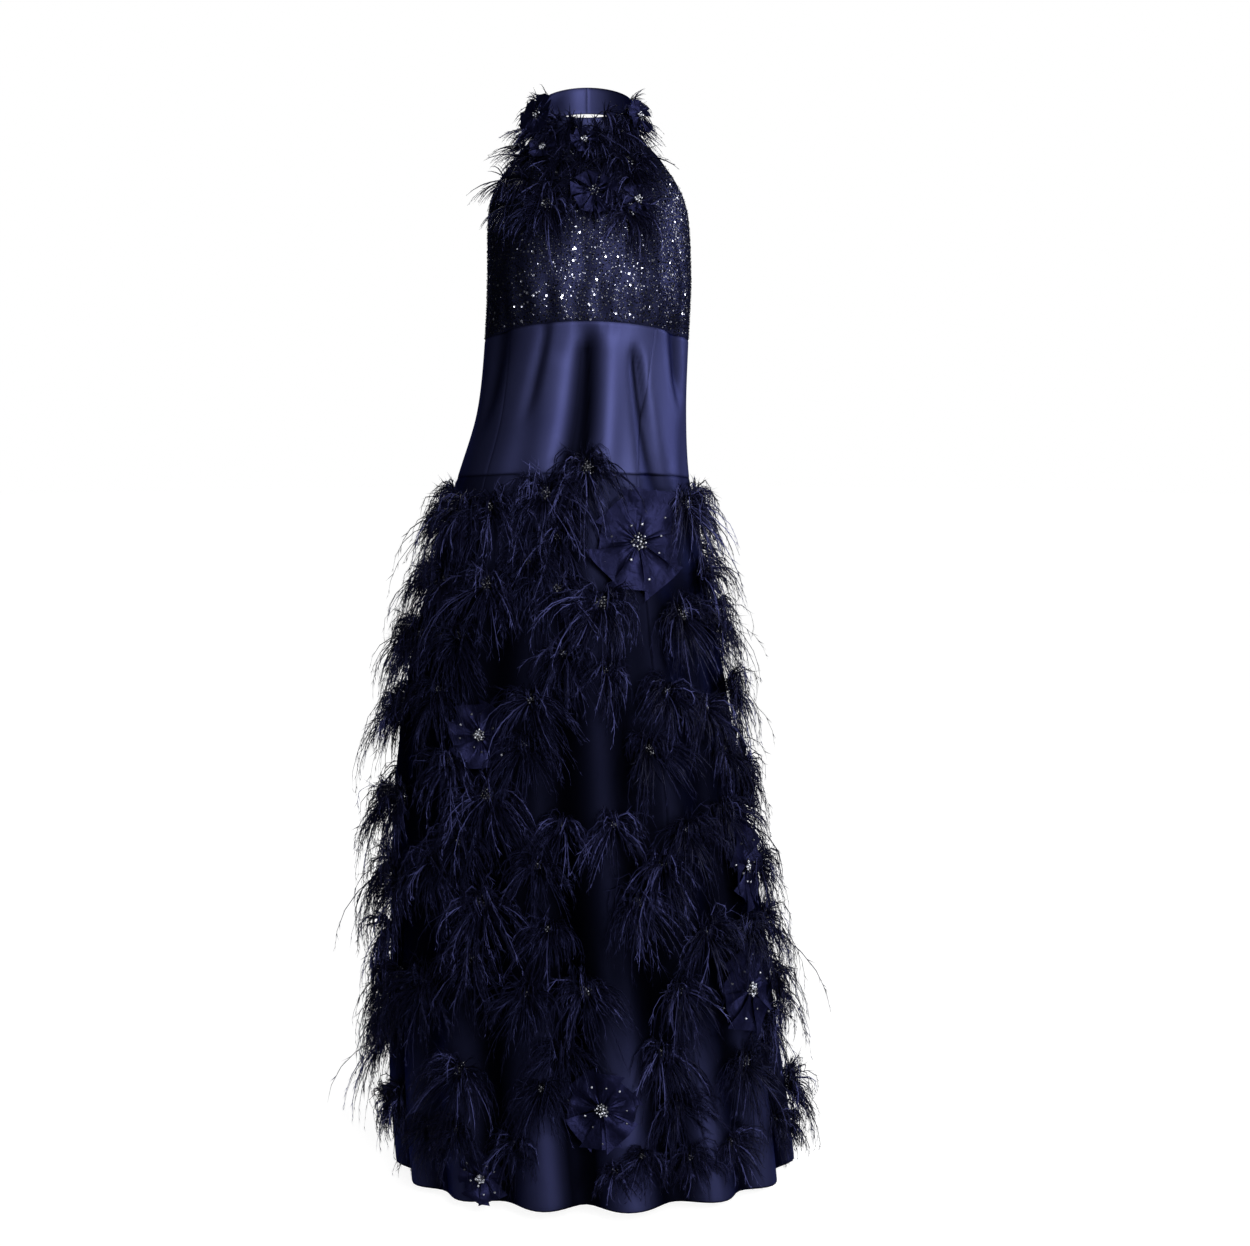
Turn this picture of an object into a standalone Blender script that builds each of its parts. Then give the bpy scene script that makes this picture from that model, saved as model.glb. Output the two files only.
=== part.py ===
"""Halter-neck a-line evening gown in midnight satin, with feather bursts and taffeta rosettes.

Metres, +Z up. The gown faces -Y, so the wearer's left is +X. The origin is the centre of the
neck ring, where the wearer's neck holds the gown. Heights in the tables are counted from the
floor, and bearings in degrees round the body: 0 is the centre front, 90 the wearer's left side
and 180 the centre back.
"""

import math
from collections import namedtuple

import bmesh
import bpy
from mathutils import Matrix, Vector
from mathutils.bvhtree import BVHTree

# Driving dimensions
NECK_HEIGHT = 1.515
WALL = 0.0016
SEAM_GAP = 0.0003
COLLAR_HEIGHT = 0.036
COLLAR_BASE = 1.4975
COLLAR_TILT = 0.0275
EMPIRE_SIDE = 1.209
EMPIRE_RISE = 0.026
HIP_SIDE = 1.017
HIP_RISE = 0.015
HEM_SIDE = 0.011
HEM_RISE = 0.014
BUST_HEIGHT = 1.285
BUST_BEARING = 36.0
BUST_DEPTH = 0.014
BUST_SPREAD = 24.0
BUST_DROP = 0.055
GATHER_COUNT = 26
GATHER_DEPTH = 0.0022
GATHER_REACH = 0.060
PRINCESS_RIGHT = -47.0
PRINCESS_LEFT_TOP = 40.0
PRINCESS_LEFT_BASE = 34.0
BACK_BAND_TOP = 1.275
BACK_BAND_SIDE = 1.372
COLUMN_STEP = 5.0
SEAM_RADIUS = 0.12
FOLD_GROWTH = 0.85
NORMAL_TURN = 1.0
NORMAL_RISE = 0.002

Section = namedtuple("Section", "height centre_x half_width front back")
SECTIONS = [Section(*row) for row in (
    (0.000, 0.010, 0.300, 0.232, 0.250),
    (0.150, -0.003, 0.295, 0.224, 0.243),
    (0.350, -0.016, 0.278, 0.206, 0.227),
    (0.550, -0.028, 0.256, 0.185, 0.205),
    (0.750, -0.031, 0.225, 0.161, 0.179),
    (0.900, -0.027, 0.192, 0.142, 0.153),
    (1.017, -0.020, 0.164, 0.127, 0.128),
    (1.110, -0.008, 0.147, 0.119, 0.100),
    (1.220, 0.000, 0.142, 0.118, 0.084),
    (1.290, 0.003, 0.1415, 0.118, 0.085),
    (1.377, 0.002, 0.139, 0.108, 0.085),
    (1.420, 0.001, 0.134, 0.094, 0.080),
    (1.455, 0.001, 0.112, 0.079, 0.074),
    (1.480, 0.000, 0.085, 0.069, 0.070),
    (1.505, 0.000, 0.069, 0.062, 0.066),
    (1.570, 0.000, 0.059, 0.056, 0.060),
)]

Fold = namedtuple("Fold", "bearing half_width depth top")
FOLDS = [Fold(*row) for row in (
    (-172.0, 8.5, 0.030, 1.10),
    (-147.0, 7.5, 0.024, 1.02),
    (-122.0, 9.0, 0.030, 1.12),
    (-97.0, 7.0, 0.022, 1.00),
    (-73.0, 8.0, 0.026, 1.08),
    (-50.0, 7.5, 0.022, 1.00),
    (-27.0, 8.5, 0.028, 1.16),
    (-2.0, 7.0, 0.034, 1.20),
    (25.0, 8.5, 0.030, 1.20),
    (49.0, 7.0, 0.024, 1.06),
    (74.0, 8.5, 0.028, 1.12),
    (99.0, 7.5, 0.022, 1.00),
    (124.0, 8.5, 0.030, 1.10),
    (150.0, 8.0, 0.024, 1.02),
)]

Edge = namedtuple("Edge", "height bearing")
ARMHOLE = [Edge(*row) for row in (
    (1.200, 90.0),
    (1.355, 90.0),
    (1.377, 86.0),
    (1.400, 76.0),
    (1.430, 66.0),
    (1.460, 62.0),
    (1.500, 65.0),
)]

Finish = namedtuple("Finish", "colour roughness metallic")
FINISHES = {
    "satin": Finish((0.030, 0.033, 0.090), 0.38, 0.0),
    "sequin_net": Finish((0.014, 0.015, 0.034), 0.30, 0.2),
    "feather": Finish((0.008, 0.009, 0.024), 0.75, 0.0),
    "taffeta": Finish((0.016, 0.017, 0.048), 0.50, 0.0),
}

# Feather bursts: a dome of beads with locks of feather round it
DOME_RADIUS = 0.011
DOME_SIDES = 8
DOME_SHARES = (0.45, 0.80, 0.95)
LOCK_STATIONS = 3
LOCK_SWELL = (1.0, 1.5, 1.3, 0.35)
LOCK_CLEARANCE = 0.0012
PROBE_START = 0.3
SEAT_SAMPLES = 8
SEAT_STEP = 0.0002
SEAT_REACH = 0.080

Burst = namedtuple("Burst", "bearing height size locks")
BURSTS = [Burst(*row) for row in (
    (-21.0, 1.386, 0.70, 5),
    (24.0, 1.380, 0.70, 5),
    (26.0, 1.442, 0.60, 4),
    (7.0, 1.040, 1.00, 7),
    (-12.0, 1.006, 1.00, 7),
    (66.0, 0.985, 1.00, 7),
    (-74.0, 0.960, 1.00, 7),
    (-33.0, 0.881, 1.00, 7),
    (14.0, 0.859, 1.00, 7),
    (51.0, 0.837, 1.00, 7),
    (-70.0, 0.800, 1.00, 7),
    (88.0, 0.720, 1.00, 7),
    (-92.0, 0.690, 1.05, 7),
    (30.0, 0.659, 0.90, 7),
    (-26.0, 0.596, 1.05, 7),
    (-70.0, 0.570, 1.00, 6),
    (-94.0, 0.455, 1.10, 7),
    (22.0, 0.451, 0.95, 7),
    (-28.0, 0.449, 1.05, 7),
    (96.0, 0.367, 1.15, 7),
    (3.0, 0.335, 0.95, 7),
    (-72.0, 0.310, 1.00, 6),
    (-36.0, 0.212, 1.00, 7),
    (53.0, 0.205, 1.00, 7),
    (-93.0, 0.200, 1.05, 7),
    (88.0, 0.130, 1.05, 7),
    (7.0, 0.085, 0.60, 4),
    (-122.0, 0.900, 1.00, 6),
    (118.0, 0.910, 1.00, 6),
    (172.0, 0.960, 1.00, 6),
    (-160.0, 0.690, 1.00, 6),
    (142.0, 0.640, 1.00, 6),
    (-128.0, 0.430, 1.05, 6),
    (166.0, 0.400, 1.05, 6),
    (-162.0, 0.190, 1.00, 6),
    (128.0, 0.180, 1.00, 6),
)]

Lock = namedtuple("Lock", "turn length lift droop")
BURST_LOCKS = [Lock(*row) for row in (
    (-142.0, 0.112, 0.26, 0.20),
    (140.0, 0.108, 0.28, 0.18),
    (-96.0, 0.092, 0.30, 0.50),
    (94.0, 0.088, 0.30, 0.48),
    (46.0, 0.062, 0.38, 0.08),
    (180.0, 0.124, 0.20, 0.00),
    (-42.0, 0.058, 0.34, 0.10),
)]
GARLAND_LOCKS = [Lock(*row) for row in (
    (178.0, 0.052, 0.42, 0.10),
    (-20.0, 0.026, 0.60, 0.10),
    (168.0, 0.060, 0.36, 0.15),
    (30.0, 0.028, 0.55, 0.10),
)]
LOCK_TRIES = [Lock(swing, scale, lift, 0.0)
              for scale in (1.0, 0.85, 0.7, 0.55)
              for lift in (0.0, 0.12, 0.26)
              for swing in (0.0, 9.0, -9.0, 18.0, -18.0)]
GARLAND_BASE = 0.010
GARLAND_WIDTH = 0.009
GARLAND_LIFT = 0.0007
GARLAND_WALL = 0.0024
GARLAND_REACH = 96.0

# Rosettes: a disc of folded taffeta petals
PETALS = 8
ROSETTE_RINGS = 3
ROSETTE_WALL = 0.0020
PETAL_RELIEF = 0.0045
PETAL_NOTCH = 0.14
CENTRE_RELIEF = 0.006
RIM_LIFT = 0.004
SPREAD_SAMPLE = 0.012

Rosette = namedtuple("Rosette", "bearing height radius")
ROSETTES = [Rosette(*row) for row in (
    (31.0, 0.938, 0.072),
    (-29.0, 0.676, 0.050),
    (99.0, 0.590, 0.062),
    (70.0, 0.470, 0.060),
    (58.0, 0.305, 0.062),
    (5.0, 0.172, 0.058),
    (-31.5, 0.060, 0.036),
    (-170.0, 0.540, 0.065),
)]


def mix(low, high, share):
    """Read a value between two others."""
    return low + (high - low) * share


def wrap(degrees):
    """Bring a bearing into the half turn on each side of the centre front."""
    return (degrees + 180.0) % 360.0 - 180.0


def read_table(rows, height):
    """Read all the columns of a table at a height, on a smooth curve through its rows."""
    last = len(rows) - 1
    k = 0
    while k < last - 1 and height > rows[k + 1].height:
        k += 1
    span = rows[k + 1].height - rows[k].height
    share = min(max((height - rows[k].height) / span, 0.0), 1.0)
    before = rows[max(k - 1, 0)]
    after = rows[min(k + 2, last)]
    values = []
    for column in range(1, len(rows[0])):
        start = rows[k][column]
        end = rows[k + 1][column]
        start_run = rows[k + 1].height - before.height
        end_run = after.height - rows[k].height
        start_slope = (end - before[column]) / start_run * span
        end_slope = (after[column] - start) / end_run * span
        square = share * share
        cube = square * share
        values.append(
            start * (2 * cube - 3 * square + 1)
            + start_slope * (cube - 2 * square + share)
            + end * (3 * square - 2 * cube)
            + end_slope * (cube - square)
        )
    return values


def front_share(bearing):
    """One at the centre front, falling to zero at the sides and all over the back."""
    return max(math.cos(math.radians(bearing)), 0.0)


def collar_base(bearing):
    """Height of the seam under the collar, lower in front than at the nape."""
    return COLLAR_BASE - COLLAR_TILT * math.cos(math.radians(bearing))


def collar_top(bearing):
    return collar_base(bearing) + COLLAR_HEIGHT


def empire_seam(bearing):
    """Height of the seam under the bust, which curves up at the centre front."""
    return EMPIRE_SIDE + EMPIRE_RISE * front_share(bearing) ** 1.5


def hip_seam(bearing):
    return HIP_SIDE + HIP_RISE * front_share(bearing)


def hem(bearing):
    return HEM_SIDE + HEM_RISE * front_share(bearing) ** 2


def back_band(bearing):
    """Top edge of the low back, from the underarm down to the centre back."""
    share = (abs(bearing) - 90.0) / 90.0
    return mix(BACK_BAND_SIDE, BACK_BAND_TOP, math.sin(share * math.pi / 2) ** 0.8)


def armhole_left(height):
    """Bearing of the bodice's left edge: the side seam, then the armhole above it."""
    return min(read_table(ARMHOLE, height)[0], 90.0)


def armhole_right(height):
    return -armhole_left(height)


def princess_left(height):
    """Bearing of the wearer's left princess seam, which leans in as it goes down."""
    share = min(max((EMPIRE_SIDE - height) / (EMPIRE_SIDE - HIP_SIDE), 0.0), 1.0)
    return mix(PRINCESS_LEFT_TOP, PRINCESS_LEFT_BASE, share)


def princess_right(height):
    return PRINCESS_RIGHT


def fixed(bearing):
    """A straight seam that keeps its bearing at every height."""
    return lambda height: bearing


def fold_depth(bearing, height):
    """How far the folds pull the cloth in, deeper towards the hem."""
    total = 0.0
    for fold in FOLDS:
        if height < fold.top:
            growth = ((fold.top - height) / fold.top) ** FOLD_GROWTH
            away = wrap(bearing - fold.bearing) / fold.half_width
            total += fold.depth * growth * math.exp(-away * away)
    return total


def bust_rise(bearing, height):
    """The bust cups, and the gathers that fall to the seam under them."""
    across = (abs(bearing) - BUST_BEARING) / BUST_SPREAD
    along = (height - BUST_HEIGHT) / BUST_DROP
    cup = BUST_DEPTH * math.exp(-across * across - along * along)
    above = (height - empire_seam(bearing)) / GATHER_REACH
    gather = 0.0
    if 0.0 < above < 1.0:
        wave = math.cos(math.radians(bearing) * GATHER_COUNT)
        gather = GATHER_DEPTH * wave * front_share(bearing) * math.sin(above * math.pi)
    return cup + gather


def form(bearing, height):
    """A point of the gown's outside, before its folds."""
    centre_x, half_width, front, back = read_table(SECTIONS, height)
    angle = math.radians(bearing)
    reach = front if math.cos(angle) > 0.0 else back
    point = Vector((centre_x + half_width * math.sin(angle), -reach * math.cos(angle), height))
    point.z -= NECK_HEIGHT
    return point + outward(bearing) * bust_rise(bearing, height)


def outward(bearing):
    """The level direction that a bearing points in."""
    angle = math.radians(bearing)
    return Vector((math.sin(angle), -math.cos(angle), 0.0))


def cloth(bearing, height):
    """A point of the gown's outside, with its folds."""
    return form(bearing, height) - outward(bearing) * fold_depth(bearing, height)


def cloth_normal(bearing, height):
    """The direction that the cloth faces, the same for the panels on both sides of a seam."""
    across = cloth(bearing + NORMAL_TURN, height) - cloth(bearing - NORMAL_TURN, height)
    along = cloth(bearing, height + NORMAL_RISE) - cloth(bearing, height - NORMAL_RISE)
    return across.cross(along).normalized()


def make_collection(name):
    collection = bpy.data.collections.new(name)
    bpy.context.scene.collection.children.link(collection)
    return collection


def make_material(name):
    """A Principled material from the table of finishes."""
    finish = FINISHES[name]
    material = bpy.data.materials.new(name)
    material.use_nodes = True
    shader = material.node_tree.nodes["Principled BSDF"]
    shader.inputs["Base Color"].default_value = (*finish.colour, 1.0)
    shader.inputs["Roughness"].default_value = finish.roughness
    shader.inputs["Metallic"].default_value = finish.metallic
    return material


def make_object(name, bm, finish, collection):
    """Turn a bmesh into a smooth-shaded object of the gown."""
    mesh = bpy.data.meshes.new(name)
    bm.to_mesh(mesh)
    bm.free()
    mesh.shade_smooth()
    mesh.materials.append(make_material(finish))
    mesh.materials[0].name = name + "_" + finish
    piece = bpy.data.objects.new(name, mesh)
    collection.objects.link(piece)
    return piece


def polygons_of(bm):
    """The points and faces of a bmesh, for a search tree."""
    bm.verts.index_update()
    points = [vert.co.copy() for vert in bm.verts]
    faces = [[vert.index for vert in face.verts] for face in bm.faces]
    return points, faces


class Layers:
    """What has been laid on the gown so far, so that the next piece stays clear of it."""

    def __init__(self):
        self.points = []
        self.faces = []
        self.tree = None

    def add(self, points, faces):
        start = len(self.points)
        self.points.extend(points)
        self.faces.extend([[index + start for index in face] for face in faces])
        self.tree = None

    def search(self):
        if self.tree is None:
            self.tree = BVHTree.FromPolygons(self.points, self.faces)
        return self.tree


Panel = namedtuple("Panel", "name right left base top step rows middle finish")
PANELS = [
    Panel("collar_band", fixed(-180.0), fixed(180.0), collar_base, collar_top,
          10.0, 4, COLLAR_BASE, "satin"),
    Panel("bodice_front", armhole_right, armhole_left, empire_seam, collar_base,
          COLUMN_STEP, 7, 1.34, "sequin_net"),
    Panel("bodice_back_left", fixed(90.0), fixed(180.0), empire_seam, back_band,
          6.0, 3, 1.25, "sequin_net"),
    Panel("bodice_back_right", fixed(-180.0), fixed(-90.0), empire_seam, back_band,
          6.0, 3, 1.25, "sequin_net"),
]
TIERS = (
    ("waist", hip_seam, empire_seam, 3, 1.11),
    ("skirt", hem, hip_seam, 8, 0.50),
)
GORES = (
    ("back_right", fixed(-180.0), fixed(-90.0)),
    ("side_right", fixed(-90.0), princess_right),
    ("front", princess_right, princess_left),
    ("side_left", princess_left, fixed(90.0)),
    ("back_left", fixed(90.0), fixed(180.0)),
)
for tier, base, top, rows, middle in TIERS:
    for gore, right, left in GORES:
        PANELS.append(
            Panel(f"{tier}_{gore}", right, left, base, top, COLUMN_STEP, rows, middle, "satin")
        )


def panel_place(panel, across, up):
    """Bearing and height of a point of a panel, half a seam gap inside each of its edges."""
    rough = mix(panel.right(panel.middle), panel.left(panel.middle), across)
    height = mix(panel.base(rough), panel.top(rough), up)
    half_width = read_table(SECTIONS, height)[1]
    gap = math.degrees(SEAM_GAP / 2 / min(half_width, SEAM_RADIUS))
    bearing = mix(panel.right(height) + gap, panel.left(height) - gap, across)
    base = panel.base(bearing) + SEAM_GAP / 2
    top = panel.top(bearing) - SEAM_GAP / 2
    return bearing, mix(base, top, up)


def cloth_panel(panel, collection, layers):
    """A cut panel of cloth: an inner and an outer face through the sections, closed round."""
    width = panel.left(panel.middle) - panel.right(panel.middle)
    columns = max(round(width / panel.step), 4)
    bm = bmesh.new()
    bmesh.ops.create_grid(bm, x_segments=columns, y_segments=panel.rows, size=0.5)
    raised = bmesh.ops.extrude_face_region(bm, geom=bm.faces[:])
    outside = {item for item in raised["geom"] if isinstance(item, bmesh.types.BMVert)}
    for vert in bm.verts:
        bearing, height = panel_place(panel, vert.co.x + 0.5, vert.co.y + 0.5)
        depth = 0.0 if vert in outside else WALL
        vert.co = cloth(bearing, height) - cloth_normal(bearing, height) * depth
    bmesh.ops.recalc_face_normals(bm, faces=bm.faces[:])
    bmesh.ops.triangulate(bm, faces=bm.faces[:])
    layers.add(*polygons_of(bm))
    return make_object(panel.name, bm, panel.finish, collection)


def seat_frame(bearing, height):
    """Axes across, up and out of the cloth at a place, before its folds."""
    turn = NORMAL_TURN * 4.0
    rise = NORMAL_RISE * 4.0
    across = form(bearing + turn, height) - form(bearing - turn, height)
    along = form(bearing, height + rise) - form(bearing, height - rise)
    out = across.cross(along).normalized()
    up = (Vector((0.0, 0.0, 1.0)) - out * out.z).normalized()
    side = up.cross(out)
    frame = Matrix((side, up, out)).transposed().to_4x4()
    frame.translation = cloth(bearing, height)
    return frame


def cloth_rise(frame, walls, x, y):
    """How high the cloth stands over the seat's plane at a point of it."""
    start = frame @ Vector((x, y, SEAT_REACH))
    hit = walls.ray_cast(start, -frame.col[2].to_3d(), 2 * SEAT_REACH)
    return SEAT_REACH - hit[3] if hit[0] is not None else -SEAT_REACH


def highest_rise(frame, walls, x, y, radius):
    """The highest that the cloth stands within a radius of a point."""
    rises = [cloth_rise(frame, walls, x, y)]
    for k in range(SEAT_SAMPLES):
        angle = math.tau * k / SEAT_SAMPLES
        for share in (0.5, 1.0):
            along = radius * share
            rises.append(
                cloth_rise(frame, walls, x + along * math.cos(angle), y + along * math.sin(angle))
            )
    return max(rises)


def settle(bm, walls, frame):
    """Move a piece in until it meets the cloth under it, then out by a hair's breadth."""
    step = frame.col[2].to_3d() * SEAT_STEP
    while not BVHTree.FromBMesh(bm).overlap(walls):
        bmesh.ops.translate(bm, verts=bm.verts[:], vec=-step)
    while BVHTree.FromBMesh(bm).overlap(walls):
        bmesh.ops.translate(bm, verts=bm.verts[:], vec=step)
    bmesh.ops.translate(bm, verts=bm.verts[:], vec=step / 2)


def lock_path(start, frame, lock):
    """The points along a lock: out of its root, over in an arch and down."""
    side, up, out = (frame.col[k].to_3d() for k in range(3))
    turn = math.radians(lock.turn)
    heading = side * math.sin(turn) + up * math.cos(turn)
    path = []
    for k in range(LOCK_STATIONS + 1):
        share = k / LOCK_STATIONS
        spread = share * (1.0 - 0.2 * share)
        point = start + heading * (lock.length * spread)
        point += out * (lock.length * lock.lift * math.sin(0.8 * math.pi * share))
        path.append(point - up * (lock.length * lock.droop * share * share))
    return path


def lock_rings(corners, normal, path, spare):
    """The cross-sections of a lock, from its root's corners to its tip."""
    centre = sum(corners, Vector()) / len(corners)
    offsets = [corner - centre for corner in corners]
    heading = normal.copy()
    rings = []
    for k in range(1, len(path)):
        after = path[min(k + 1, len(path) - 1)]
        tangent = (after - path[k - 1]).normalized()
        turn = heading.rotation_difference(tangent)
        offsets = [turn @ offset for offset in offsets]
        heading = tangent
        rings.append([
            path[k] + offset * LOCK_SWELL[k] + offset.normalized() * spare for offset in offsets
        ])
    return rings


def tube_polygons(rings):
    """A closed tube of points and faces through rings of equal count."""
    count = len(rings[0])
    points = [point for ring in rings for point in ring]
    faces = [list(range(count)), [len(points) - count + k for k in range(count)]]
    for row in range(len(rings) - 1):
        for k in range(count):
            after = (k + 1) % count
            low = row * count
            faces.append([low + k, low + after, low + count + after, low + count + k])
    return points, faces


def grow_lock(bm, face, frame, lock, size, layers, walls):
    """Draw a lock out of a root face, turned, raised or shortened until it lies clear."""
    corners = [vert.co.copy() for vert in face.verts]
    normal = face.normal.copy()
    start = face.calc_center_median()
    tree = layers.search()
    for change in LOCK_TRIES:
        trial = Lock(
            lock.turn + change.turn,
            lock.length * size * change.length,
            lock.lift + change.lift,
            lock.droop,
        )
        path = lock_path(start, frame, trial)
        rings = lock_rings(corners, normal, path, LOCK_CLEARANCE)
        first = [corner.lerp(point, PROBE_START) for corner, point in zip(corners, rings[0])]
        probe = BVHTree.FromPolygons(*tube_polygons([first] + rings))
        rings = lock_rings(corners, normal, path, 0.0)
        whole = BVHTree.FromPolygons(*tube_polygons([corners] + rings))
        if tree.overlap(probe) or walls.overlap(whole):
            continue
        before = corners
        for ring in rings:
            drawn = bmesh.ops.extrude_discrete_faces(bm, faces=[face])
            face = drawn["faces"][0]
            for vert in face.verts:
                nearest = min(range(len(ring)), key=lambda k: (before[k] - vert.co).length)
                vert.co = ring[nearest]
            before = ring
        layers.add(*tube_polygons([corners] + rings))
        return


def burst_dome(burst, walls, frame):
    """The beaded dome at a burst's middle, flat where it sits on the cloth."""
    radius = DOME_RADIUS * burst.size
    bm = bmesh.new()
    low, middle, high = DOME_SHARES
    bmesh.ops.create_cone(
        bm, cap_ends=True, segments=DOME_SIDES, radius1=radius, radius2=radius * 0.9,
        depth=radius * low,
    )
    crown = max(bm.faces, key=lambda face: face.calc_center_median().z)
    crown = bmesh.ops.extrude_discrete_faces(bm, faces=[crown])["faces"][0]
    for vert in crown.verts:
        vert.co.x *= 0.6
        vert.co.y *= 0.6
        vert.co.z += radius * (middle - low)
    peak = bmesh.ops.poke(bm, faces=[crown])["verts"][0]
    peak.co.z += radius * (high - middle)
    seat = highest_rise(frame, walls, 0.0, 0.0, radius) + SEAM_GAP
    bm.transform(frame @ Matrix.Translation((0.0, 0.0, seat + radius * low / 2)))
    settle(bm, walls, frame)
    bm.normal_update()
    return bm


def take_root(roots, frame, lock):
    """Take the free side face of a dome that looks most nearly where a lock starts."""
    side, up = frame.col[0].to_3d(), frame.col[1].to_3d()
    turn = math.radians(lock.turn)
    heading = side * math.sin(turn) + up * math.cos(turn)
    root = max(roots, key=lambda face: face.normal.dot(heading))
    roots.remove(root)
    return root


def varied(lock, index, k):
    """A lock turned and lengthened a little, each burst and lock in its own way."""
    sway = math.sin(index * 1.9 + k * 2.3)
    stretch = 1.0 + 0.10 * math.sin(index * 2.7 + k * 1.3)
    return Lock(lock.turn + 7.0 * sway, lock.length * stretch, lock.lift, lock.droop)


def feather_bursts(collection, layers, walls):
    """All the bursts: the domes first, then the locks round each of them."""
    laid = []
    for burst in BURSTS:
        frame = seat_frame(burst.bearing, burst.height)
        bm = burst_dome(burst, walls, frame)
        layers.add(*polygons_of(bm))
        laid.append((burst, frame, bm))
    for index, (burst, frame, bm) in enumerate(laid):
        roots = [face for face in bm.faces
                 if len(face.verts) == 4 and abs(face.normal.dot(frame.col[2].to_3d())) < 0.3]
        for k, lock in enumerate(BURST_LOCKS[:burst.locks]):
            root = take_root(roots, frame, lock)
            grow_lock(bm, root, frame, varied(lock, index, k), burst.size, layers, walls)
        make_object(f"burst_{index + 1:02d}", bm, "feather", collection)


def collar_garland(collection, layers, walls):
    """The feather strip on the collar band, with locks hanging over the yoke."""
    band = next(panel for panel in PANELS if panel.name == "collar_band")
    bm = bmesh.new()
    columns = round(2 * GARLAND_REACH / band.step)
    bmesh.ops.create_grid(bm, x_segments=columns, y_segments=1, size=0.5)
    raised = bmesh.ops.extrude_face_region(bm, geom=bm.faces[:])
    outside = {item for item in raised["geom"] if isinstance(item, bmesh.types.BMVert)}
    for vert in bm.verts:
        bearing = vert.co.x * 2 * GARLAND_REACH
        height = collar_base(bearing) + GARLAND_BASE + (vert.co.y + 0.5) * GARLAND_WIDTH
        lift = GARLAND_LIFT + (GARLAND_WALL if vert in outside else 0.0)
        vert.co = cloth(bearing, height) + cloth_normal(bearing, height) * lift
    bmesh.ops.recalc_face_normals(bm, faces=bm.faces[:])
    bm.normal_update()
    layers.add(*polygons_of(bm))
    roots = [face for face in bm.faces if all(vert in outside for vert in face.verts)]
    for k, root in enumerate(roots):
        lock = GARLAND_LOCKS[k % len(GARLAND_LOCKS)]
        bearing = math.degrees(math.atan2(root.normal.x, -root.normal.y))
        frame = seat_frame(bearing, collar_base(bearing) + GARLAND_BASE)
        grow_lock(bm, root, frame, varied(lock, k, k), 1.0, layers, walls)
    make_object("collar_garland", bm, "feather", collection)


def rosette(index, spec, collection, layers, walls):
    """A disc of pleated petals that follows the cloth under it."""
    frame = seat_frame(spec.bearing, spec.height)
    bm = bmesh.new()
    bmesh.ops.create_grid(bm, x_segments=2 * PETALS, y_segments=ROSETTE_RINGS, size=0.5)
    for vert in bm.verts:
        angle = math.tau * (vert.co.x + 0.5)
        share = vert.co.y + 0.5
        notch = 1.0 - PETAL_NOTCH * (0.5 - 0.5 * math.cos(PETALS * angle)) * share
        reach = spec.radius * share * notch
        vert.co = Vector((reach * math.sin(angle), reach * math.cos(angle), 0.0))
    bmesh.ops.remove_doubles(bm, verts=bm.verts[:], dist=0.0001)
    raised = bmesh.ops.extrude_face_region(bm, geom=bm.faces[:])
    outside = {item for item in raised["geom"] if isinstance(item, bmesh.types.BMVert)}
    for vert in bm.verts:
        x, y = vert.co.x, vert.co.y
        share = math.hypot(x, y) / spec.radius
        height = highest_rise(frame, walls, x, y, SPREAD_SAMPLE) + SEAM_GAP
        height += RIM_LIFT * share * share
        if vert in outside:
            petal = 0.5 + 0.5 * math.cos(PETALS * math.atan2(x, y))
            centre = CENTRE_RELIEF * math.exp(-(share / 0.2) ** 2)
            height += ROSETTE_WALL + PETAL_RELIEF * petal * min(share * 2, 1.0) + centre
        vert.co.z = height
    bm.transform(frame)
    bmesh.ops.recalc_face_normals(bm, faces=bm.faces[:])
    bmesh.ops.triangulate(bm, faces=bm.faces[:])
    settle(bm, walls, frame)
    layers.add(*polygons_of(bm))
    make_object(f"rosette_{index + 1:02d}", bm, "taffeta", collection)


def main():
    for leftover in list(bpy.data.objects):
        bpy.data.objects.remove(leftover)
    gown = make_collection("a_line_gown")
    layers = Layers()
    for panel in PANELS:
        cloth_panel(panel, gown, layers)
    walls = layers.search()
    for index, spec in enumerate(ROSETTES):
        rosette(index, spec, gown, layers, walls)
    feather_bursts(gown, layers, walls)
    collar_garland(gown, layers, walls)


main()
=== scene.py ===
"""Looks of the halter-neck a-line gown: satin, sequinned net, feather bursts and rosettes.

Metres, +Z up, the gown faces -Y and the origin is the centre of the neck ring. Heights in the
tables are counted from the floor, and bearings in degrees round the body: 0 is the centre
front, 90 the wearer's left side and 180 the centre back.
"""

import math
from collections import namedtuple

import bmesh
import bpy
import numpy as np
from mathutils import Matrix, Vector
from mathutils.bvhtree import BVHTree


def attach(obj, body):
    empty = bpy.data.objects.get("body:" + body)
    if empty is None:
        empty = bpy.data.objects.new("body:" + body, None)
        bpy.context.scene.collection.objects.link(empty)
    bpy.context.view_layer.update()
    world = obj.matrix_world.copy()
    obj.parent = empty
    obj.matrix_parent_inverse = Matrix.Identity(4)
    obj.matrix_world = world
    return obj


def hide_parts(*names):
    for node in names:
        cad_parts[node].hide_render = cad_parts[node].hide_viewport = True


bl_info = {
    "name": "A-line gown with feather bursts",
    "version": (1, 0, 0),
    "blender": (4, 5, 0),
    "location": "View3D > Sidebar > Gown",
    "description": "Builds the cloth, sequins, feathers and rosettes of the gown",
    "category": "Add Mesh",
}

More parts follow.
